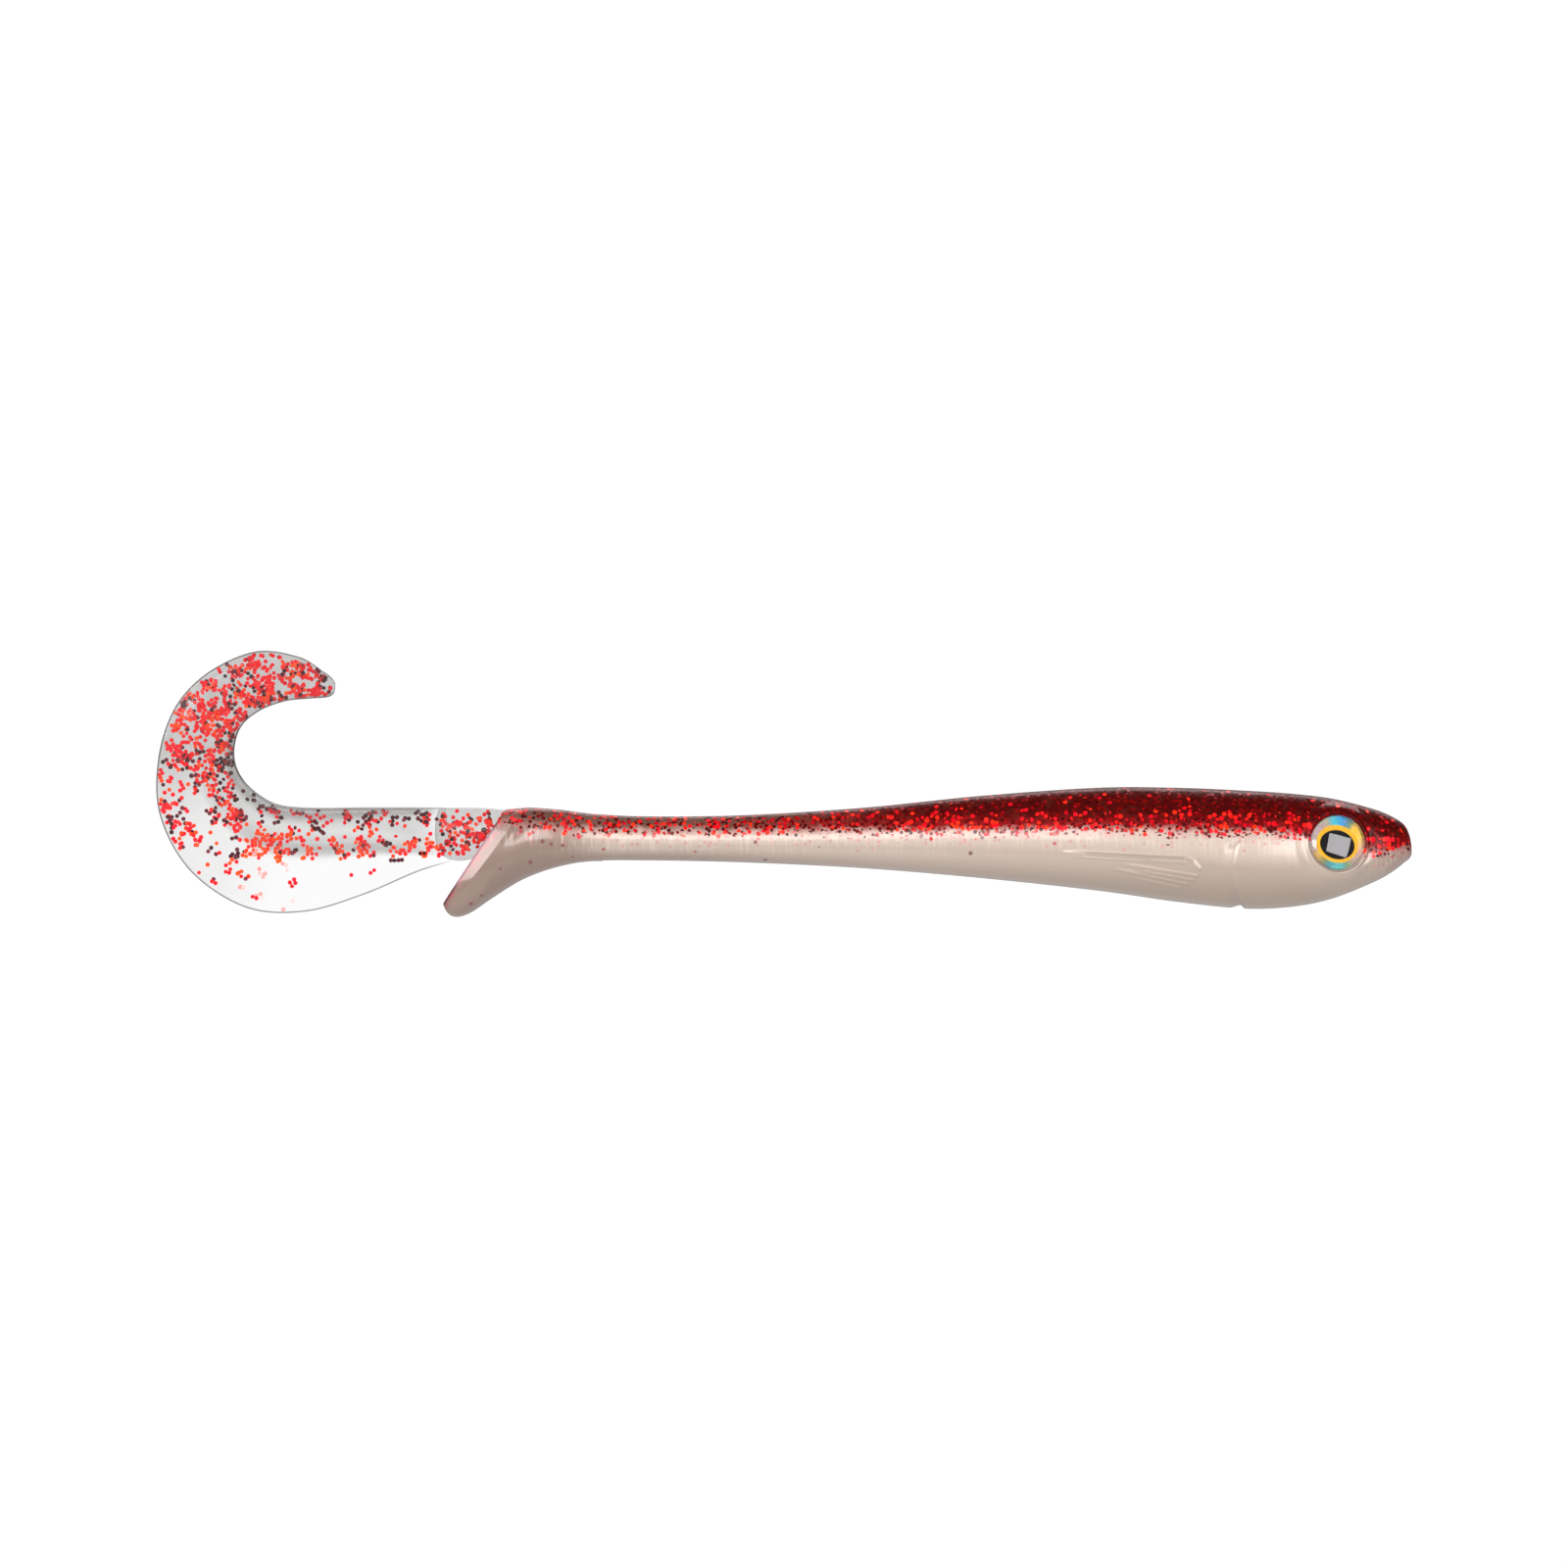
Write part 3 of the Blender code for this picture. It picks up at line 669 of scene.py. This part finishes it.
def body_rings(upper, around, across):
    """Cross-sections of one pour: the outer skin, then the hidden flat face where the other is bonded."""
    spans = [
        np.arange(0.0, EYES_SPAN_X[0], -FINE_STEP),
        np.arange(EYES_SPAN_X[0], EYES_SPAN_X[1], -EYE_STEP),
        np.arange(EYES_SPAN_X[1], RELIEF_ENDS_X, -FINE_STEP),
        np.arange(RELIEF_ENDS_X, MOULD_LINE_X, -COARSE_STEP),
    ]
    xs = np.concatenate([*spans, [MOULD_LINE_X + SEAM]])
    power = 2 / SECTION_POWER
    rings = []
    for x in xs:
        top, bottom, half_width = body_at(x)
        widest = bottom + (top - bottom) * WIDEST_SHARE
        above, below = top - widest, widest - bottom
        bond = bond_at(x) + (SEAM / 2 if upper else -SEAM / 2)
        share = np.clip((bond - widest) / (above if bond > widest else below), -0.98, 0.98)
        start = math.asin(signed_power(share, 1 / power))
        sweep = math.pi - 2 * start if upper else -(math.pi + 2 * start)
        angles = start + sweep * np.linspace(0, 1, around)
        c, q = np.cos(angles), np.sin(angles)
        y = half_width * signed_power(c, power)
        z = widest + np.where(q > 0, above, below) * signed_power(q, power)
        out_y = signed_power(y / half_width, SECTION_POWER - 1) / half_width
        rise = np.where(q > 0, above, below)
        out_z = signed_power((z - widest) / rise, SECTION_POWER - 1) / rise
        length = np.hypot(out_y, out_z)
        tall = relief(np.full(around, x), z) * (0 if upper else 1)
        y, z = y + out_y / length * tall, z + out_z / length * tall
        inner_y = np.linspace(y[-1], y[0], across + 2)[1:-1]
        inner_z = np.full(across, bond)
        columns = [np.full(around + across, x), np.append(y, inner_y), np.append(z, inner_z)]
        rings.append(np.column_stack(columns))
    return np.array(rings)


def cut_sockets(obj):
    """Cuts the round eye sockets out of a skin."""
    bm = bmesh.new()
    depth = 4.0
    radius = SOCKET_RADIUS * MM
    for side in (-1, 1):
        place = eye_frame(side) @ Matrix.Translation((0, 0, depth / 2 - SOCKET_DEPTH))
        place.translation *= MM
        size = {"radius1": radius, "radius2": radius, "depth": depth * MM}
        bmesh.ops.create_cone(bm, cap_ends=True, segments=SOCKET_SEGMENTS, matrix=place, **size)
    mesh = bpy.data.meshes.new("socket_cutter")
    bm.to_mesh(mesh)
    bm.free()
    cutter = bpy.data.objects.new("socket_cutter", mesh)
    bpy.context.scene.collection.objects.link(cutter)
    modifier = obj.modifiers.new("socket", "BOOLEAN")
    modifier.object = cutter
    modifier.solver = "MANIFOLD"
    graph = bpy.context.evaluated_depsgraph_get()
    cut = bpy.data.meshes.new_from_object(obj.evaluated_get(graph))
    obj.modifiers.clear()
    obj.data = cut
    bpy.data.objects.remove(cutter)


def finish_pour(obj, material):
    points = points_of(obj)
    keep_rest(obj)
    keep_number(obj, "above", points[:, 2] - bond_at(points[:, 0]))
    obj.data.materials.clear()
    obj.data.materials.append(material)


def body_skin(name, upper, around, material, nodes):
    rings = body_rings(upper, around, 9)
    shape = rings.shape
    rings = raise_eye_rim(rings.reshape(-1, 3)).reshape(shape)
    skin = loft(name, rings)
    cut_sockets(skin)
    skin.data.set_sharp_from_angle(angle=math.radians(40))
    finish_pour(skin, material)
    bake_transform(skin)
    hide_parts(*nodes)
    return skin


def slanted_ring(row, around, widest):
    """A ring in a slanted plane from its top point, bottom point and half width."""
    top_x, top_z, bottom_x, bottom_z, half_width = row
    angles = 2 * math.pi * np.arange(around) / around
    c, q = np.cos(angles), np.sin(angles)
    power = 2 / SECTION_POWER
    share = widest + np.where(q > 0, 1 - widest, widest) * signed_power(q, power)
    return np.column_stack(
        [
            bottom_x + (top_x - bottom_x) * share,
            half_width * signed_power(c, power),
            bottom_z + (top_z - bottom_z) * share,
        ]
    )


def rim_rings(around):
    """The fin's rim, from its front ring to its rear one, with a flat band leaning in along each flank."""
    front, rear = slanted_ring(PADDLE[-1], around, 0.5), slanted_ring(PADDLE_REAR, around, 0.5)
    high = (front[:, 2] - front[:, 2].min()) / np.ptp(front[:, 2])
    flat = smooth_step(FACET_FOOT - 0.1, FACET_FOOT + 0.06, high)
    edge = np.where(high > FACET_FOOT, 0.2 + 0.42 * (1 - high) / (1 - FACET_FOOT), 0.6)
    foot = smooth_step(0.3, 0.0, high) ** 2
    rings = []
    for u in (0.1, 0.2, 0.3, 0.4, 0.46, 0.485, 0.5, 0.515, 0.54, 0.6, 0.7, 0.8, 0.9, 0.97, 1.0):
        t = edge * u / 0.5 if u <= 0.5 else edge + (1 - edge) * (u - 0.5) / 0.5
        ring = front + (rear - front) * t[:, None]
        swell = 4 * t * (1 - t) * foot
        ring[:, 0] += swell * LOBE_SWELL[0] * 0.35
        ring[:, 2] += swell * LOBE_SWELL[1] * 0.65
        band = np.clip((u - 0.5) / 0.5, 0, 1)
        turned = 1 - np.sqrt(1 - min(t.max(), 0.999) ** 2)
        lean = flat * band * FACET_DEPTH + (1 - flat) * turned * FACET_DEPTH
        ring[:, 1] *= 1 + 0.035 * math.sin(math.pi * min(u, 0.5)) - lean / PADDLE_REAR[4]
        rings.append(ring)
    return rings


def paddle_skin(material):
    """The fin: the body flares to a slanted rim and ends in a shallow dish."""
    around = 144
    rows = curve_through(PADDLE, 12)
    rings = []
    for i, row in enumerate(rows):
        widest = WIDEST_SHARE + (0.5 - WIDEST_SHARE) * i / (len(rows) - 1)
        rings.append(slanted_ring(row, around, widest))
    rings += rim_rings(around)
    rear, middle = rings[-1], rings[-1].mean(0)
    inwards = np.array(DISH_DIRECTION)
    for shrink, sink in ((0.96, 0.02), (0.9, 0.12), (0.75, 0.35), (0.5, 0.5), (0.25, 0.52)):
        rings.append(middle + (rear - middle) * shrink + inwards * sink)
    skin = loft("paddle_fin_skin", rings, sharp=50)
    finish_pour(skin, material)
    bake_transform(skin)
    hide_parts("paddle_fin")
    return skin


# -------------------- clear tail


def tail_root_skin(material):
    around = 64
    rows = curve_through(STUB, 8)
    rings = [slanted_ring(row, around, 0.5) for row in rows]
    last, middle = rings[-1], rings[-1].mean(0)
    for shrink, out in ((0.85, 0.25), (0.6, 0.42), (0.3, 0.5)):
        rings.append(middle + (last - middle) * shrink - np.array((out, 0, 0)))
    skin = loft("tail_root_skin", rings)
    keep_rest(skin)
    keep_number(skin, "tone", np.full(len(skin.data.vertices), 0.25))
    skin.data.materials.append(material)
    bend_root(skin)
    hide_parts("tail_root")
    return skin


def bend_root(piece):
    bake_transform(piece)


def bend_tip(piece):
    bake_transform(piece)


STEPS = 16
BLADE_CURVE = curve_through(BLADE, STEPS)


def half_thickness(share, width, along, rib_share):
    rib = RIB_ROOT + (RIB_TIP - RIB_ROOT) * along
    web = WEB_ROOT + (WEB_TIP - WEB_ROOT) * along
    plain = rib + (web - rib) * smooth_step(rib_share - 0.14, rib_share + 0.05, share)
    from_edge = np.minimum(share, 1 - share) * width / EDGE_ROUND
    return plain * np.sqrt(np.clip(1 - np.clip(1 - from_edge, 0, 1) ** 2, 0, 1))


def blade_place(position, share):
    """A place on the blade's middle plane, with its half thickness; position counts along BLADE_CURVE."""
    row = [np.interp(position, np.arange(len(BLADE_CURVE)), BLADE_CURVE[:, k]) for k in range(5)]
    inner, outer = np.array(row[:2]), np.array(row[2:4])
    x, z = inner + (outer - inner) * share
    width = np.hypot(*(outer - inner))
    return x, z, float(half_thickness(share, width, position / len(BLADE_CURVE), row[4])), row[4], width


def blade_tone(share, width, row, rib_share):
    """How dark the blade's walls are: its rib and its thin web, a painted shade line and a painted highlight
    streak beside the rib, and painted shade along its rims, standing in for refraction.
    """
    curl = smooth_step(4.6, 7.6, row)
    rib = 0.23 + 0.07 * curl
    web = 0.045 + 0.06 * smooth_step(3.4, 4.8, row) + 0.19 * smooth_step(5.0, 7.6, row)
    line = 0.11 * smooth_step(0.4, 1.8, row) * (1 - smooth_step(3.9, 5.2, row))
    inner = 0.2 * (1 - 0.8 * smooth_step(6.5, 8.5, row))
    tone = web + (rib - web) * (1 - smooth_step(rib_share - 0.04, rib_share + 0.06, share))
    # Painted shade line just inside the rib, then a lighter painted highlight streak further in, standing in
    # for refraction in the rib.
    tone = tone + line * np.exp(-(((share - rib_share + 0.07) / 0.065) ** 2))
    tone = tone - 0.5 * line * np.exp(-(((share - rib_share + 0.24) / 0.06) ** 2))
    # Painted shade along the inner edge and along both rims, standing in for refraction at the rounded edges.
    tone = tone + inner * smooth_step(0.17, 0.06, share)
    tone = tone + 0.5 * smooth_step(0.24, 0.08, np.minimum(share, 1 - share) * width)
    return tone * smooth_step(-0.3, 1.1, row)


def tail_blade_skin(material):
    edge = 1 - np.cos(np.linspace(0, math.pi / 2, 9))
    rings, tones = [], []
    for i, row in enumerate(BLADE_CURVE):
        inner, outer, rib_share = row[:2], row[2:4], row[4]
        width = np.hypot(*(outer - inner))
        rounding = min(EDGE_ROUND / width, 0.3) * edge
        middle = np.linspace(rounding[-1], 1 - rounding[-1], 50)[1:-1]
        shares = np.concatenate([rounding, middle, 1 - rounding[::-1]])
        half = np.maximum(half_thickness(shares, width, i / len(BLADE_CURVE), rib_share), 0.002)
        half[[0, -1]] = 0
        flat = inner + (outer - inner) * shares[:, None]
        left = np.column_stack([flat[:, 0], half, flat[:, 1]])
        right = np.column_stack([flat[:, 0], -half, flat[:, 1]])[-2:0:-1]
        rings.append(np.vstack([left, right]))
        tone = blade_tone(shares, width, i / STEPS, rib_share)
        tones.append(np.concatenate([tone, tone[-2:0:-1]]))
    skin = loft("tail_blade_skin", rings)
    keep_rest(skin)
    keep_number(skin, "tone", np.concatenate(tones))
    skin.data.materials.append(material)
    bend_tip(skin)
    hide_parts("tail_blade", "tail_tip")
    return skin


# -------------------- glitter


def flakes_object(name, flakes, material):
    """One mesh of hexagonal flakes from (place, normal, shade, size) rows."""
    verts, faces, shades = [], [], []
    for place, normal, shade, size in flakes:
        out = Vector(normal).normalized()
        side = out.orthogonal().normalized()
        other = out.cross(side)
        base = len(verts)
        for level in (-FLAKE_THICKNESS / 2, FLAKE_THICKNESS / 2):
            for k in range(6):
                angle = math.pi / 3 * k + 7 * shade
                spot = Vector(place) + (side * math.cos(angle) + other * math.sin(angle)) * size + out * level
                verts.append(tuple(spot))
                shades.append(shade)
        faces.append(tuple(base + k for k in reversed(range(6))))
        faces.append(tuple(base + 6 + k for k in range(6)))
        for k in range(6):
            n = (k + 1) % 6
            faces.append((base + k, base + n, base + 6 + n, base + 6 + k))
    mesh = bpy.data.meshes.new(name)
    mesh.from_pydata((np.array(verts) * MM).tolist(), [], faces)
    made = bpy.data.objects.new(name, mesh)
    bpy.context.scene.collection.objects.link(made)
    keep_rest(made)
    keep_number(made, "shade", shades)
    made.data.materials.append(material)
    return made


def blade_density(row, share, rib_share):
    """How crowded the flakes are at a place on the blade, from 0 to 1."""
    curl = smooth_step(5.2, 7.4, row)
    rib = 1 - smooth_step(rib_share - 0.02, rib_share + 0.08, share)
    line = math.exp(-(((share - rib_share + 0.08) / 0.12) ** 2))
    outer_band = smooth_step(0.55, 0.75, share) * smooth_step(4.6, 5.8, row)
    straight = rib * (0.22 + 0.31 * line) + (1 - rib) * (0.045 + 0.17 * smooth_step(3.4, 4.6, row))
    return max(straight * (1 - curl), 0.85 * curl, 0.6 * outer_band) * smooth_step(13.9, 13.0, row)


def kind_of_flake(row, share, rib_share, pick):
    if share < 0.25 and row < 7:
        return "dark" if pick < 0.62 else "red"
    if share > rib_share + 0.08 and row < 4.2:
        return "pale" if pick < 0.5 else "red"
    if row < 4.4:
        return "orange" if pick < 0.62 else ("red" if pick < 0.92 else "dark")
    return "red" if pick < 0.62 else ("orange" if pick < 0.78 else "dark")


def blade_areas():
    """The area between each two rows of the blade."""
    pairs = zip(BLADE_CURVE, BLADE_CURVE[1:])
    return np.array([abs(np.cross(a[:2] - b[2:4], a[2:4] - b[:2])) / 2 for a, b in pairs])


def clump(rng, position, share, width):
    """The spots, as (position, share), of a flake and of the ones that stick to it."""
    spots = [(position, share)]
    for _ in range(rng.choice(CLUMP_SIZES)):
        along, across = rng.choice(spots)
        turn = rng.uniform(0, 2 * math.pi)
        step = 2 * FLAKE_RADIUS * rng.uniform(0.75, 1.1)
        i = min(int(along), len(BLADE_CURVE) - 2)
        gap = BLADE_CURVE[i + 1] - BLADE_CURVE[i]
        inner, outer = np.hypot(*gap[:2]), np.hypot(*gap[2:4])
        length = max(0.05, inner + (outer - inner) * across)
        spots.append((along + step * math.cos(turn) / length, across + step * math.sin(turn) / width))
    return spots


def flake_at(rng, row, kind, position, share):
    """A flake's kind and (place, normal, shade, size), or None too near a rim, the root or the tip."""
    x, z, half, rib_share, width = blade_place(position, share)
    inset = (FLAKE_RADIUS + 0.06) / width
    if not (1 < position < len(BLADE_CURVE) - 6 and inset < share < 1 - inset):
        return None
    y = rng.uniform(-1, 1) * max(0.0, half - 0.16)
    lean = 0.12 if half < 0.5 else 0.35
    normal = (rng.gauss(0, lean), 1, rng.gauss(0, lean))
    if rng.random() >= 0.75:
        kind = kind_of_flake(row, share, rib_share, rng.random())
    return kind, ((x, y, z), normal, rng.random(), FLAKE_RADIUS * rng.uniform(0.9, 1.06))


def tail_flakes(materials):
    """Glitter in clumps: dark by the inner edge, orange low in the rib, crowded in the curl."""
    rng = random.Random(SEED)
    kinds = {"red": [], "orange": [], "dark": [], "pale": []}
    areas = blade_areas()
    reach = np.cumsum(areas) / areas.sum()
    for _ in range(BLADE_DRAWS):
        position = float(np.interp(rng.random(), reach, np.arange(1, len(BLADE_CURVE))))
        share = rng.random()
        row = position / STEPS
        rib_share, width = blade_place(position, share)[3:]
        if rng.random() > blade_density(row, share, rib_share):
            continue
        kind = kind_of_flake(row, share, rib_share, rng.random())
        for spot in clump(rng, position, share, width):
            made = flake_at(rng, row, kind, *spot)
            if made:
                kinds[made[0]].append(made[1])
    for kind, flakes in kinds.items():
        piece = flakes_object(f"tail_flakes_{kind}", flakes, materials[kind])
        bend_tip(piece)


def root_flakes(materials):
    """Glitter packed into the stub, in loose heaps."""
    rng = random.Random(SEED + 1)
    rows = curve_through(STUB, 8)
    kinds = {"red": [], "dark": [], "orange": []}
    heaps = [(rng.uniform(2, len(rows) - 4), rng.uniform(0.15, 0.95)) for _ in range(ROOT_HEAPS)]
    for _ in range(ROOT_DRAWS):
        heap = rng.choice(heaps)
        at, share = heap[0] + rng.gauss(0, 3), heap[1] + rng.gauss(0, 0.09)
        if not (1 < at < len(rows) - 2 and 0.1 < share < 0.94):
            continue
        row = rows[int(at)]
        across = math.sqrt(1 - (2 * share - 1) ** 2)
        y = rng.uniform(-1, 1) * max(0.0, row[4] * across - 0.35)
        place = (row[2] + (row[0] - row[2]) * share, y, row[3] + (row[1] - row[3]) * share)
        normal = (rng.gauss(0, 0.35), 1, rng.gauss(0, 0.35))
        kind = rng.choice(("dark", "red", "red", "red", "orange"))
        kinds[kind].append((place, normal, rng.random(), FLAKE_RADIUS))
    for kind, flakes in kinds.items():
        piece = flakes_object(f"tail_root_flakes_{kind}", flakes, materials[kind])
        bend_root(piece)


# -------------------- eyes


def spun(name, profile, side, segments=96):
    """A closed solid turned about the eye's axis, from (radius, height) points that start and end on it."""
    verts, faces = [], []
    for r, h in profile:
        for k in range(segments):
            angle = 2 * math.pi * k / segments
            verts.append((r * math.cos(angle), r * math.sin(angle), h))
    for i in range(len(profile) - 1):
        for k in range(segments):
            n = (k + 1) % segments
            faces.append(tuple(v + i * segments for v in (k, n, n + segments, k + segments)))
    place = np.array(eye_frame(side))
    points = np.array(verts) @ place[:3, :3].T + place[:3, 3]
    made = object_from(name, points, faces)
    local = (points_of(made) - place[:3, 3]) @ place[:3, :3]
    local[:, 0] *= side * -1
    layer = made.data.attributes.new("eye", "FLOAT_VECTOR", "POINT")
    layer.data.foreach_set("vector", local.astype(np.float32).ravel())
    keep_rest(made)
    return made


def disc_profile(radius, back, face, bevel):
    """A flat disc with rounded edges, in rings close enough for its print."""
    inner = radius - bevel
    rows = [(inner * t, back) for t in np.linspace(0, 1, 4)]
    rows += [(radius, back + bevel), (radius, face - bevel)]
    return rows + [(inner * t, face) for t in np.linspace(1, 0, 12)]


def dome_profile():
    base, rise = DOME_BACK + DOME_EDGE, DOME_TOP - DOME_BACK - DOME_EDGE
    sphere = (DISC_RADIUS**2 + rise**2) / (2 * rise)
    widest = math.asin(DISC_RADIUS / sphere)
    rows = [(0, DOME_BACK), (DISC_RADIUS - 0.05, DOME_BACK)]
    rows += [(DISC_RADIUS, DOME_BACK + 0.05), (DISC_RADIUS, base - 0.06)]
    for i in range(1, 25):
        angle = widest * (1 - i / 24)
        rows.append((sphere * math.sin(angle), base + sphere * (math.cos(angle) - math.cos(widest))))
    return rows


def glue_back(dome, material):
    """Gives the faces on the dome's flat back, the first that were made, their own material."""
    dome.data.materials.append(material)
    heights = np.zeros(len(dome.data.vertices) * 3)
    dome.data.attributes["eye"].data.foreach_get("vector", heights)
    heights = heights.reshape(-1, 3)[:, 2]
    for face in dome.data.polygons:
        if all(heights[v] < DOME_BACK + 0.01 for v in face.vertices):
            face.material_index = 1


def eye(side, label, materials):
    parts = {
        "pad": (disc_profile(DISC_RADIUS - 0.1, PAD_BACK, PAD_FACE, 0.04), "eye_pad"),
        "foil": (disc_profile(DISC_RADIUS, FOIL_BACK, FOIL_FACE, 0.03), "eye_foil"),
        "dome": (dome_profile(), "eye_dome"),
    }
    for part, (profile, slot_name) in parts.items():
        piece = spun(f"{label}_eye_{part}", profile, side)
        piece.data.materials.append(materials[part])
        if part == "dome":
            glue_back(piece, materials["bond"])
        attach(piece, "head")
        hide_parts(f"eye_{part}_{label}")


# -------------------- studio


def floor():
    """A pale round floor that fades out into the white background."""
    verts = []
    for k in range(96):
        angle = 2 * math.pi * k / 96
        verts.append((FLOOR_RADIUS * math.cos(angle), FLOOR_RADIUS * math.sin(angle), FLOOR_Z))
    made = object_from("studio_floor", verts, [tuple(range(96))], smooth=False)
    s = Shader("studio_paper", Roughness=0.9)
    place = s.node("NewGeometry").outputs["Position"]
    s.wire("Base Color", s.mix(s.noise(place, 2.0), (0.95, 0.95, 0.95), (0.92, 0.92, 0.92)))
    reach = s.node("VectorMath", {0: place}, operation="LENGTH").outputs["Value"]
    s.wire("Alpha", s.step(reach, 0.95 * FLOOR_RADIUS * MM, 0.4 * FLOOR_RADIUS * MM))
    made.data.materials.append(s.material)


def white_room():
    """A soft even light from all round, in front of a background that the camera sees as white."""
    world = bpy.data.worlds.new("studio_world")
    world.use_nodes = True
    nodes, links = world.node_tree.nodes, world.node_tree.links
    light = nodes["Background"]
    light.inputs["Color"].default_value = (1.0, 0.98, 0.96, 1.0)
    light.inputs["Strength"].default_value = ROOM_LIGHT
    seen = nodes.new("ShaderNodeBackground")
    seen.inputs["Color"].default_value = (1.0, 1.0, 1.0, 1.0)
    seen.inputs["Strength"].default_value = 1.05
    mix = nodes.new("ShaderNodeMixShader")
    links.new(nodes.new("ShaderNodeLightPath").outputs["Is Camera Ray"], mix.inputs[0])
    links.new(light.outputs[0], mix.inputs[1])
    links.new(seen.outputs[0], mix.inputs[2])
    links.new(mix.outputs[0], nodes["World Output"].inputs["Surface"])
    bpy.context.scene.world = world


def area_light(name, place, target, size, power, colour=(1, 1, 1), roll=0.0):
    data = bpy.data.lights.new(name, "AREA")
    data.shape = "RECTANGLE"
    data.size, data.size_y = size[0] * MM, size[1] * MM
    data.energy = power
    data.color = colour
    made = bpy.data.objects.new(name, data)
    bpy.context.scene.collection.objects.link(made)
    aim = Vector(target) - Vector(place)
    made.location = Vector(place) * MM
    turn = aim.to_track_quat("-Z", "Y").to_matrix() @ Matrix.Rotation(math.radians(roll), 3, "Z")
    made.rotation_euler = turn.to_euler()
    return made


def studio():
    floor()
    white_room()
    area_light("key_box", (266, -615, 128), (-40, 0, 0), (360, 305), 2.75, (1.0, 0.97, 1.0), -18)
    area_light("strip_box", (-350, -640, 152), (-100, 0, 0), (570, 170), 2.4)
    area_light("side_box", (-426, -165, 230), (-115, 0, 0), (300, 300), 1.8, (0.95, 0.93, 1.0))
    area_light("back_box", (-76, 420, 380), (-76, 0, 0), (700, 200), 1.5)
    bpy.context.scene.view_settings.view_transform = "Standard"


def camera():
    data = bpy.data.cameras.new("camera")
    data.lens, data.sensor_width = LENS, SENSOR
    data.clip_start = 0.01
    distance = FRAME_WIDTH * LENS / SENSOR
    made = bpy.data.objects.new("camera", data)
    bpy.context.scene.collection.objects.link(made)
    made.location = (Vector(VIEW_CENTRE) - Vector((0, distance, 0))) * MM
    made.rotation_euler = (math.pi / 2, 0, 0)
    bpy.context.scene.camera = made


# -------------------- build

belly_look = poured_material("pearl_belly_look", 0.5)
back_look = poured_material("glitter_back_look", 0.08)
paddle_look = poured_material("paddle_look", 0.4, fin=1)
blade_look = clear_material("clear_blade_look", 0.75)
stub_look = clear_material("clear_stub_look", 0.35)
flake_looks = {kind: flake_material(f"{kind}_flake_look", *look) for kind, look in FLAKE_KINDS.items()}
eye_looks = {
    "pad": pad_material(),
    "foil": foil_material(),
    "dome": dome_material(),
    "bond": bonded_material(),
}

body_skin("belly_skin", False, 180, belly_look, ["head_belly", "stem_belly"])
body_skin("back_skin", True, 90, back_look, ["head_back", "stem_back"])
paddle_skin(paddle_look)
tail_root_skin(stub_look)
tail_blade_skin(blade_look)
tail_flakes(flake_looks)
root_flakes(flake_looks)
eye(-1, "right", eye_looks)
eye(1, "left", eye_looks)
studio()
camera()
